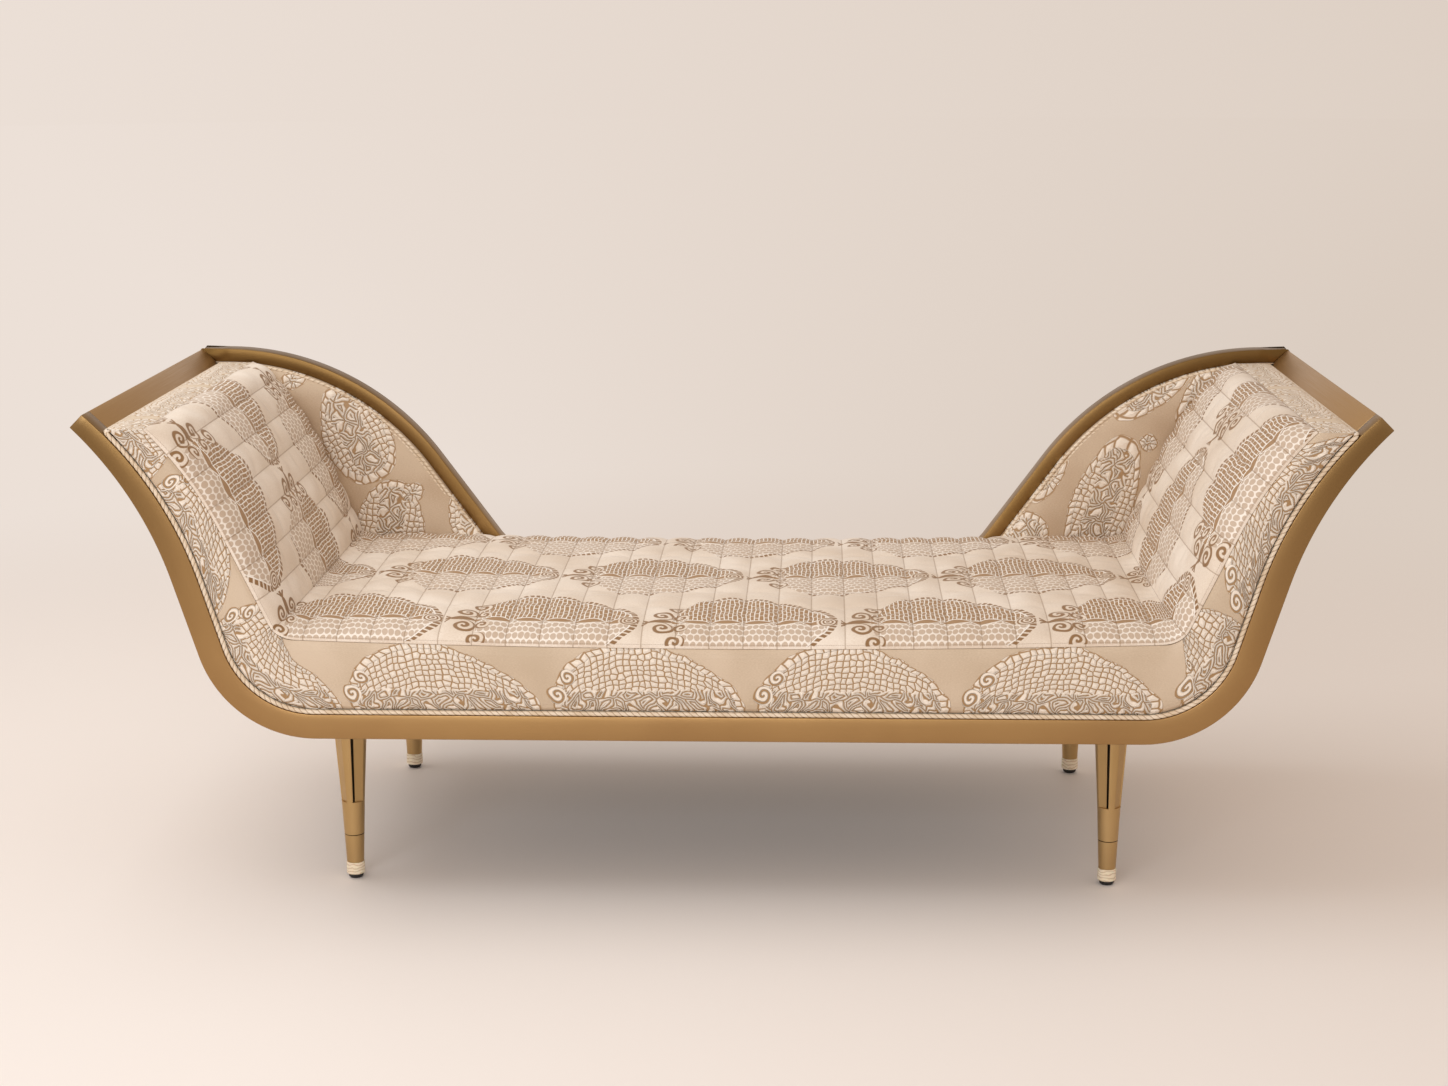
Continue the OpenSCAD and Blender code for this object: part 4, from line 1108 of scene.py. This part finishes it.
def raised_fill(add, along, beside, depth, around, pebble, bend, inner):
    """Raised figures in a paisley: one row of pebbles along its edge, bent rows of them inside, and
    scrolls near its middle line."""
    arched = add("Math MULTIPLY_ADD", add("Math MULTIPLY", along, along), bend, beside)
    laid = add("CombineXYZ", along, add("Math MULTIPLY", arched, 1.15))
    edging = add("CombineXYZ", around, add("Math ADD", depth, -pebble / 2))
    at_edge = add("MapRange", depth, pebble * 1.02, pebble * 0.98)
    rows = add("Mix", at_edge, laid, edging, data_type="VECTOR")
    edges = add("TexVoronoi", rows, 1 / pebble, put={"Randomness": PEBBLE_ORDER}, voronoi_dimensions="2D",
                feature="DISTANCE_TO_EDGE")
    pebbles = add("MapRange", edges, 0.03, 0.4)
    warp = add("TexNoise", laid, MAZE_WAVES, 0.0, out="Color", noise_dimensions="2D")
    winding = add("VectorMath MULTIPLY_ADD", warp, (MAZE_STRAY, MAZE_STRAY, 0.0), laid)
    heart = add("TexVoronoi", winding, MAZE_SIZE / pebble, put={"Randomness": 1.0},
                voronoi_dimensions="2D", feature="DISTANCE_TO_EDGE")
    rings = add("Math PINGPONG", add("Math MULTIPLY", heart, MAZE_RINGS), 0.5)
    maze = add("MapRange", rings, 0.12, 0.42)
    low = add("MapRange", add("Math ABSOLUTE", beside), inner, inner - pebble / 2)
    low = add("Math MULTIPLY", low, add("MapRange", depth, pebble * 0.9, pebble * 1.1))
    fill = add("Mix", low, pebbles, maze)
    return add("Math MULTIPLY", fill, add("MapRange", depth, 0.0, 0.0008))


def raised_satin(add, shader, cloth, ground, brown, inside, raised, depth):
    """Colours a satin whose figures stand up in cream inside the paisleys, with brown between them."""
    drawn = add("MapRange", raised, 0.08, 0.32)
    between = add("Math SUBTRACT", inside, drawn)
    woven_satin(add, shader, cloth, ground, ((between, brown), (drawn, BOXING_CREAM)), raised, depth)


def boxing_satin(name, ground, brown, depth):
    """Woven satin with a raised jacquard: glossy cream pebbles and scrolls on a tan ground."""
    finish, shader, add = new_finish(name)
    cloth = add("TexCoord", out="UV")
    woven = hand_drawn(add, cloth, 30.0, 0.008)
    # the paisleys follow each other closer up the arms, and their pebbles keep their size there
    s = add("SeparateXYZ", woven, out="X")
    v = add("SeparateXYZ", woven, out="Y")
    past = add("Math MINIMUM", add("Math SUBTRACT", s, PIECED), 0.0)
    moved = add("Math MULTIPLY_ADD", past, PIECED_SHARE, s)
    moved = add("Math ADD", moved, add("MapRange", s, CLOSED_FROM, CLOSED_TO, 0.0, CLOSED_BY))
    squeezed = add("Math MULTIPLY_ADD", add("Math LESS_THAN", s, PIECED), PIECED_SHARE, 1.0)
    squeezed = add("Math MULTIPLY_ADD", within(add, s, CLOSED_FROM, CLOSED_TO),
                   CLOSED_BY / (CLOSED_TO - CLOSED_FROM), squeezed)
    place = motif_place(add, add("CombineXYZ", moved, v), BOXING_FIRST, BOXING_REPEAT)
    along, beside, inward, around = paisley(add, place, BOXING_HALF_LENGTH, BOXING_HALF_WIDTH, BOXING_TAPER)
    inside = add("MapRange", inward, -0.0004, 0.0004)
    laid = add("Math DIVIDE", along, squeezed)
    raised = raised_fill(add, laid, beside, inward, around, PEBBLE, PEBBLE_BEND, PEBBLE_BAND)
    for scroll in BOXING_SCROLLS:
        disc, line = scrolls(add, along, beside, *scroll)
        raised = add("Mix", disc, raised, line)
        inside = add("Math MAXIMUM", inside, disc)
    raised_satin(add, shader, cloth, ground, brown, inside, raised, depth)
    return finish


boxing_finish = boxing_satin("woven_satin_jacquard_raised", (BOXING_SHADE, BOXING_LIGHT), BOXING_BROWN,
                             RAISED_DEPTH)
end_finish = boxing_satin("woven_satin_jacquard_faint", (END_SHADE, END_LIGHT), END_BROWN, END_DEPTH)
strips = [keep_piece("front_boxing_strip", make_front_boxing(), boxing_finish,
                     ["front_boxing"])]
strips += keep_pair("end_boxing_strip_{}", make_end_boxing, end_finish, "end_boxing_{}")

# Wing pads
# A shaped pad fills each arch behind the arm. It is upholstered in raised jacquard over foam, swells
# in the middle and tucks in behind the arm and the seat.
WING_ROWS = 28
WING_STEPS = [6, 46, 30]
WING_SEAM_STEPS = [52, 10, 20]
WING_SWELL = 0.016
WING_TUCK = 0.014
WING_LIGHT = "#CFBAA0"
WING_SHADE = "#BEA589"
WING_BROWN = "#A98760"
BEAD = 0.0118
BEAD_BAND = 0.030
LEFT_MOTIFS = ((-0.738, 0.652, 117, 0.100, 0.066, 4.2), (-0.676, 0.470, 82, 0.096, 0.070, 3.0),
               (-0.628, 0.540, 20, 0.020, 0.018, 3.0), (-0.512, 0.490, 105, 0.080, 0.050, 3.0),
               (-0.852, 0.757, 20, 0.024, 0.018, 3.0))
RIGHT_MOTIFS = ((0.692, 0.528, 71, 0.132, 0.060, 2.0), (0.772, 0.640, 30, 0.018, 0.018, 3.0),
                (0.776, 0.736, 34, 0.085, 0.032, 2.0), (0.585, 0.570, 55, 0.058, 0.024, 2.0),
                (0.545, 0.448, 80, 0.058, 0.046, 2.0), (0.876, 0.735, 60, 0.085, 0.036, 2.0))
wing_back_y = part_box("wing_pad_right")[1].y


def make_wing_pad():
    edge = turn((flare_x - board_shift, flare_z), FLARE_RADIUS, 0, math.pi - lean_at(arm_top_z))(1)
    steep, slope = arch_line(ARCH_WIDTH)[:2]
    arch_points = points_on([straight(edge, steep(0)), steep, slope], WING_STEPS)
    ends = [seam_length, knee_length, knee_x, arch_points[-1].x]
    seam_down = [seam_at(s, -WING_TUCK) for s in spread(ends, WING_SEAM_STEPS)]
    pad = ribbon(seam_down, arch_points, WING_ROWS,
                 lambda run, share: pad_y - swell(share, WING_SWELL * min(1, 8 * run), 2.2))
    return grown(pad, lambda p: Vector((p.x, wing_back_y, p.z)))


def wing_satin(name, motifs):
    """The raised satin jacquard again, with whole paisleys laid out on the shape of the pad."""
    finish, shader, add = new_finish(name)
    place = add("TexCoord", out="Object")
    cloth = add("CombineXYZ", add("SeparateXYZ", place, out="X"), add("SeparateXYZ", place, out="Z"))
    woven = hand_drawn(add, cloth, 34.0, 0.007)
    along, beside, depth, around = 0.0, 0.0, -1.0, 0.0
    for x, z, lean, half_length, half_width, taper in motifs:
        own = add("Mapping", woven, (x, z, 0.0), (0.0, 0.0, math.radians(lean)), vector_type="TEXTURE")
        ahead, aside, inward, turned = paisley(add, own, half_length, half_width, taper)
        inside = add("MapRange", inward, -0.0001, 0.0)
        along = add("Mix", inside, along, ahead)
        beside = add("Mix", inside, beside, aside)
        around = add("Mix", inside, around, turned)
        depth = add("Math MAXIMUM", depth, inward)
    raised = raised_fill(add, along, beside, depth, around, BEAD, 0.0, BEAD_BAND)
    inside = add("MapRange", depth, -0.0004, 0.0004)
    raised_satin(add, shader, cloth, (WING_SHADE, WING_LIGHT), WING_BROWN, inside, raised, RAISED_DEPTH)
    return finish


right_wing = keep_piece("wing_right", make_wing_pad(), wing_satin("woven_satin_right_wing", RIGHT_MOTIFS),
                        ["wing_pad_right"])
left_wing = keep_piece("wing_left", turned_left(make_wing_pad()),
                       wing_satin("woven_satin_left_wing", LEFT_MOTIFS), ["wing_pad_left"])

# Welts
# A single welt of twisted cord in cream satin runs along the front board and back along each end
# rail; a double one follows the inside of each arch. Both are glued into the joint.
WELT_LAY = 0.0105
WELT_SIDES = 16
WELT_STEP = 0.0013
WELT_GROOVE = 0.17
WELT_TURN = 0.0075
BACK_WELT_RADIUS = 0.003
BACK_WELT_START = math.radians(10.2)
BACK_WELT_SIDES = 12
CORD_LIGHT = "#EADAC4"
CORD_SHADE = "#DCC7AB"
# painted shade for the grooves between the strands
CORD_GROOVE_PAINTED_SHADE = "#94754F"
WELT_Y = cad_low.y + WELT_RADIUS


def cord_mesh(path, radius, lay, sides, phase=0.0):
    """A twisted cord of two strands along places that each have a centre and two directions."""
    run = run_along([centre for centre, _, _ in path])

    def place(i, j):
        centre, across, beside = path[i]
        angle = math.tau * j / sides
        twist = abs(math.cos(angle - math.pi * run[i] / lay + phase))
        reach = radius * (1 - WELT_GROOVE * (1 - twist) ** 1.6)
        outward = math.cos(angle) * across + math.sin(angle) * beside
        return centre + reach * outward, (run[i], angle * radius)
    cord = smoothed(sheet(len(path) - 1, sides, place))
    bmesh.ops.remove_doubles(cord, verts=cord.verts, dist=1e-6)
    bmesh.ops.holes_fill(cord, edges=[e for e in cord.edges if e.is_boundary], sides=0)
    bmesh.ops.recalc_face_normals(cord, faces=cord.faces)
    return cord


def upright(place, y):
    """A place of a board's plane, at a depth y."""
    return Vector((place.x, y, place.y))


def welt_side():
    """Places of the single welt from the middle of the front to the back of the right end rail."""
    inset = WELT_RADIUS + CORD_GAP
    turn_lean = lean_at(arm_top_z - WELT_RADIUS, inset) - WELT_TURN / FLARE_RADIUS
    line = side_line(board_shift, inset, turn_lean)
    lengths = [corner_x, (CORNER_RADIUS - BOARD_WIDTH - inset) * (math.pi / 2 - ARM_LEAN), ARM_STRAIGHT,
               FLARE_RADIUS * (turn_lean - ARM_LEAN)]
    steps = [round(length / WELT_STEP) for length in lengths]
    leans = spread([math.pi / 2, math.pi / 2, ARM_LEAN, ARM_LEAN, turn_lean], steps)
    places = [(upright(p, WELT_Y), Vector((-math.cos(a), 0, math.sin(a))), Vector((0, -1, 0)))
              for p, a in zip(points_on(line, steps), leans)]
    start, inward = places[-1][0], places[-1][1]
    along = Vector((math.sin(turn_lean), 0, math.cos(turn_lean)))
    back = Vector((0, 1, 0))
    turn_steps = round(WELT_TURN * math.pi / 2 / WELT_STEP * 1.5)
    for i in range(1, turn_steps + 1):
        t = math.pi / 2 * i / turn_steps
        centre = start + WELT_TURN * ((1 - math.cos(t)) * back + math.sin(t) * along)
        places.append((centre, inward, math.sin(t) * along - math.cos(t) * back))
    tip = start + WELT_TURN * (back + along)
    back_steps = round((pad_y - tip.y) / WELT_STEP)
    places += [(tip + (pad_y - tip.y) * i / back_steps * back, inward, along)
               for i in range(1, back_steps + 1)]
    return places


def make_front_welt():
    side = welt_side()
    mirror_x = Vector((-1, 1, 1))
    other = [(c * mirror_x, a * mirror_x, b * mirror_x) for c, a, b in side[:0:-1]]
    return cord_mesh(other + side, WELT_RADIUS, WELT_LAY, WELT_SIDES)


def make_back_welt():
    cords = []
    pitch = 2 * (BACK_WELT_RADIUS + CORD_GAP)
    y = pad_y - BACK_WELT_RADIUS - CORD_GAP
    for k in range(2):
        inset = ARCH_WIDTH + pitch * (k + 0.5)
        radius = ARCH_RADIUS - inset
        steep = turn(arch_centre, radius, 0, math.pi / 2 + ARCH_SLOPE)(1)
        low_z = SEAM_Z + CROWN / 2
        foot = Vector((steep.x - (steep.y - low_z) / math.tan(ARCH_SLOPE), low_z))
        bend = turn(arch_centre, radius, math.pi / 2 + BACK_WELT_START, math.pi / 2 + ARCH_SLOPE)
        counts = [round(radius * (ARCH_SLOPE - BACK_WELT_START) / WELT_STEP),
                  round((foot - steep).length / WELT_STEP)]
        angles = spread([BACK_WELT_START, ARCH_SLOPE, ARCH_SLOPE], counts)
        path = [(upright(p, y), Vector((-math.sin(a), 0, math.cos(a))), Vector((0, 1, 0)))
                for p, a in zip(points_on([bend, straight(steep, foot)], counts), angles)]
        cords.append(cord_mesh(path, BACK_WELT_RADIUS, WELT_LAY, BACK_WELT_SIDES, phase=k * 1.2))
    return joined(*cords)


def cord_satin():
    """Satin twisted round a cotton cord: pale on the strands, with painted shade dark in the grooves
    between them.
    """
    finish, shader, add = new_finish("bias_cut_satin_cord", roughness=0.42)
    cloth = add("TexCoord", out="UV")
    run = add("SeparateXYZ", cloth, out="X")
    turned = add("SeparateXYZ", cloth, out="Y")
    strand = add("Math MULTIPLY_ADD", turned, 1 / (math.pi * WELT_RADIUS),
                 add("Math MULTIPLY", run, -1 / WELT_LAY))
    off = add("Math SUBTRACT", add("Math FRACT", strand), 0.5)
    groove = add("MapRange", add("Math ABSOLUTE", off), 0.16, 0.02)
    cloud = add("TexNoise", cloth, 25.0, 2.0, noise_dimensions="2D")
    ground = add("Mix", add("MapRange", cloud, 0.35, 0.65), linear(CORD_SHADE), linear(CORD_LIGHT),
                 data_type="RGBA")
    # painted shade: darker in the grooves between the strands
    colour = add("Mix", add("Math MULTIPLY", groove, 0.7), ground, linear(CORD_GROOVE_PAINTED_SHADE), data_type="RGBA")
    drawn = add("VectorMath MULTIPLY", add("CombineXYZ", strand, run), (9.0, 160.0, 0.0))
    thread = add("TexNoise", drawn, 1.0, noise_dimensions="2D")
    feed(shader, {"Base Color": colour, "Sheen Weight": 0.08,
                  "Normal": add("Bump", 0.5, 0.0004, put={"Height": thread})})
    return finish


cord_finish = cord_satin()
keep_piece("front_welt_cord", make_front_welt(), cord_finish, ["front_welt"])
keep_pair("back_welt_cord_{}", make_back_welt, cord_finish, "back_welt_{}")

# Outside arms and outside back
# Plain tan satin is pulled over the plywood on the outside of each arm and over the back panel. Both
# skins are blind-stapled at their edges and swell a little over their lining.
SKIN_SWELL = 0.0022
OUTSIDE_LIGHT = "#CAB295"
OUTSIDE_SHADE = "#C4AA8B"
SKIN_ROWS = 24
SKIN_STEPS = [26, 4, 30]
BACK_STEPS = [1, 24, 4, 30]
BACK_TOP_STEPS = [4, 26, 4, 24, 1]
SKIN_BACK = 0.003
skin_low, skin_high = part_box("outside_arm_right")
back_low, back_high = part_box("outside_back")
skin_thickness = back_high.y - back_low.y


def make_outside_arm():
    line = side_line(0, SKIN_BACK, lean_at(skin_high.z, SKIN_BACK))[1:]
    places = points_on(line, SKIN_STEPS)
    run = run_along(places)
    inward = {}

    def place(i, j):
        before, after = places[max(0, i - 1)], places[min(len(places) - 1, i + 1)]
        square = Vector((before.y - after.y, after.x - before.x)).normalized()
        share = j / SKIN_ROWS
        lift = places[i] - square * (swell(share, SKIN_SWELL, 6) * swell(run[i] / run[-1], 1.0, 8))
        spot = upright(lift, skin_low.y + (skin_high.y - skin_low.y) * share)
        inward[tuple(spot)] = upright(places[i] + square * skin_thickness, spot.y)
        return spot, (spot.y, run[i])
    return grown(sheet(len(places) - 1, SKIN_ROWS, place), lambda p: inward[tuple(p)])


def make_outside_back():
    board = points_on(side_line(board_shift, 0, lean_at(arm_top_z)), BACK_STEPS)
    arch = arch_line(ARCH_WIDTH)
    top = points_on([straight(board[-1], arch[0](0))] + arch, BACK_TOP_STEPS)[::-1]
    panel = ribbon(board, top, SKIN_ROWS, lambda run, share: back_high.y + swell(share, SKIN_SWELL, 8))
    return grown(both_sides(panel), lambda p: Vector((p.x, back_low.y, p.z)))


def tan_satin():
    """Plain woven satin: an even tan with a fine diagonal weave and a soft gloss."""
    finish, shader, add = new_finish("woven_satin_plain")
    cloth = add("TexCoord", out="UV")
    slanted = add("Mapping", cloth, put={"Rotation": (0.0, 0.0, 0.6)})
    drawn = add("VectorMath MULTIPLY", slanted, (1 / THREAD, 0.2 / THREAD, 0.0))
    twill = add("TexNoise", drawn, 1.0, 1.0, noise_dimensions="2D")
    relief = add("Math MULTIPLY", twill, 0.4)
    woven_satin(add, shader, cloth, (OUTSIDE_SHADE, OUTSIDE_LIGHT), (), relief, 0.0005)
    return finish


tan_finish = tan_satin()
keep_pair("outside_arm_skin_{}", make_outside_arm, tan_finish, "outside_arm_{}")
keep_piece("outside_back_skin", make_outside_back(), tan_finish, ["outside_back"])

# Dust cover
# Black non-woven cloth is stapled under the seat frame and sags a little between the rails. It is
# cut out round the four leg plates.
DUST_SAG = 0.007
DUST_DOT = 0.003
DUST_GRID = (96, 52)
DUST_BLACK = "#1D1B1A"
DUST_DOT_BLACK = "#2C2927"
HOLE_ROOM = 0.008
dust_low, dust_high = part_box("dust_cover")
dust_wide, dust_deep = dust_high.x - dust_low.x, dust_high.y - dust_low.y
hole = leg_high.x - leg_x + HOLE_ROOM


def make_dust_cover():
    dust = bmesh.new()
    bmesh.ops.create_grid(dust, x_segments=DUST_GRID[0], y_segments=DUST_GRID[1], size=0.5)
    for v in dust.verts:
        x, y, sag = v.co.x * dust_wide, v.co.y * dust_deep, 0.0
        if abs(v.co.x) < 0.499 and abs(v.co.y) < 0.499:
            sag = DUST_SAG * (math.cos(math.pi * v.co.x) * math.cos(math.pi * v.co.y)) ** 0.8
        v.co = (x, y, dust_low.z - sag * (0.75 + 0.25 * math.cos(x * 19)))
    for side_x, side_y in corners.values():
        for axis, at in (((1, 0, 0), side_x * leg_x - hole), ((1, 0, 0), side_x * leg_x + hole),
                         ((0, 1, 0), side_y * leg_y - hole), ((0, 1, 0), side_y * leg_y + hole)):
            bmesh.ops.bisect_plane(dust, geom=dust.verts[:] + dust.edges[:] + dust.faces[:],
                                   plane_co=Vector(axis) * at, plane_no=axis)
    inside = [f for f in dust.faces if abs(abs(f.calc_center_median().x) - leg_x) < hole
              and abs(abs(f.calc_center_median().y) - abs(leg_y)) < hole]
    bmesh.ops.delete(dust, geom=inside, context="FACES")
    return smoothed(dust)


def bonded_cloth():
    """Spunbonded polypropylene: thin, black and dull, with a grid of small bonded dots."""
    finish, shader, add = new_finish("spunbonded_black_cloth", roughness=0.8)
    dots = add("TexVoronoi", add("TexCoord", out="Object"), 1 / DUST_DOT, put={"Randomness": 0.15},
               voronoi_dimensions="2D")
    spot = add("MapRange", dots, 0.28, 0.2)
    feed(shader, {"Base Color": add("Mix", spot, linear(DUST_BLACK), linear(DUST_DOT_BLACK),
                                    data_type="RGBA"),
                  "Normal": add("Bump", 0.5, 0.0004, put={"Height": spot})})
    return finish


dust = keep_piece("dust_cloth_sheet", make_dust_cover(), bonded_cloth(), ["dust_cover"])

# Studio
# A plain pale floor that fades into a pale background, painted lighter at the left as painted light,
# one large soft light overhead at the left, and a low soft fill in front. The camera stands where the
# photograph was taken from.
CAMERA_PLACE = (0.14489, -4.11385, 1.43467)
CAMERA_PITCH = 0.219064
CAMERA_YAW = -0.0396017
CAMERA_ROLL = -0.00440455
CAMERA_LENS = 59.11
# painted light: the wall is lighter at the left and darker at the right
WALL_PAINTED_LIT_LEFT = "#ECE0D7"
WALL_PAINTED_SHADED_RIGHT = "#DBCDC1"
WALL_TURN = 0.36
SKY = "#D8C9BC"
FLOOR = "#F2ECE8"
FADE_START = 1.3
FADE_END = 3.6
FLOOR_RADIUS = 30
LAMPS = {"key": ((-1.9, -0.05, 3.2), (3.0, 2.2), 44, (0.90, 0.96, 1.0)),
         "fill": ((-0.9, -4.2, 1.9), (3.0, 1.6), 60, (0.93, 0.96, 1.0))}
LAMP_AIM = Vector((0, 0, 0.4))

ahead = Vector((math.sin(CAMERA_YAW), math.cos(CAMERA_YAW), 0))
side = Vector((math.cos(CAMERA_YAW), -math.sin(CAMERA_YAW), 0))
look = ahead * math.cos(CAMERA_PITCH) - Vector((0, 0, math.sin(CAMERA_PITCH)))
upward = ahead * math.sin(CAMERA_PITCH) + Vector((0, 0, math.cos(CAMERA_PITCH)))
right = side * math.cos(CAMERA_ROLL) + upward * math.sin(CAMERA_ROLL)
top = upward * math.cos(CAMERA_ROLL) - side * math.sin(CAMERA_ROLL)
camera_data = bpy.data.cameras.new("camera")
camera_data.lens = CAMERA_LENS
camera_data.sensor_width = 36
camera = bpy.data.objects.new("camera", camera_data)
camera.matrix_world = Matrix.Translation(CAMERA_PLACE) @ Matrix((right, top, -look)).transposed().to_4x4()
bpy.context.collection.objects.link(camera)
bpy.context.scene.camera = camera
bpy.context.scene.view_settings.view_transform = "Standard"

floor_mesh = bmesh.new()
bmesh.ops.create_circle(floor_mesh, cap_ends=True, radius=FLOOR_RADIUS, segments=96)
floor_data = bpy.data.meshes.new("floor")
floor_mesh.to_mesh(floor_data)
floor_mesh.free()
floor = bpy.data.objects.new("floor", floor_data)
bpy.context.collection.objects.link(floor)


def wall_with_painted_light(add, direction):
    """The wall's colour in a direction, with painted light: it is lighter at the left and darker at the
    right.
    """
    turned = add("MapRange", add("SeparateXYZ", direction, out="X"), -WALL_TURN, WALL_TURN)
    return add("Mix", turned, linear(WALL_PAINTED_LIT_LEFT), linear(WALL_PAINTED_SHADED_RIGHT), data_type="RGBA")


def seen(add):
    """One for what the camera sees, straight or mirrored, and zero for what lights the object."""
    rays = add("LightPath")
    return add("Math MAXIMUM", rays, rays.node.outputs["Is Glossy Ray"])


# Painted floor: pale and matt, so that it takes the shadow softly
floor_finish, floor_shader, add = new_finish("painted_floor", roughness=0.6)
feed(floor_shader, {"Base Color": linear(FLOOR)})
from_middle = add("VectorMath LENGTH", add("TexCoord", out="Object"))
fade = add("Math MULTIPLY", add("MapRange", from_middle, FADE_START, FADE_END,
                                interpolation_type="SMOOTHSTEP"), seen(add))
wall = add("Emission", wall_with_painted_light(add, add("VectorMath NORMALIZE", add("TexCoord", out="Object"))))
feed(floor_finish.node_tree.nodes["Material Output"],
     {"Surface": add("MixShader", fade, floor_shader.outputs["BSDF"], wall)})
floor_data.materials.append(floor_finish)

world = bpy.data.worlds.new("room")
world.use_nodes = True
bpy.context.scene.world = world
add = partial(add_node, world.node_tree)
lit = add("Mix", seen(add), linear(SKY), wall_with_painted_light(add, add("TexCoord", out="Generated")),
          data_type="RGBA")
feed(world.node_tree.nodes["Background"], {"Color": lit})

for name, (place, lamp_size, watts, colour) in LAMPS.items():
    lamp_data = bpy.data.lights.new(name, "AREA")
    lamp_data.shape = "RECTANGLE"
    lamp_data.size, lamp_data.size_y = lamp_size
    lamp_data.energy, lamp_data.color = watts, colour
    lamp = bpy.data.objects.new(name, lamp_data)
    lamp.location = place
    lamp.rotation_euler = (LAMP_AIM - lamp.location).to_track_quat("-Z", "Y").to_euler()
    bpy.context.collection.objects.link(lamp)
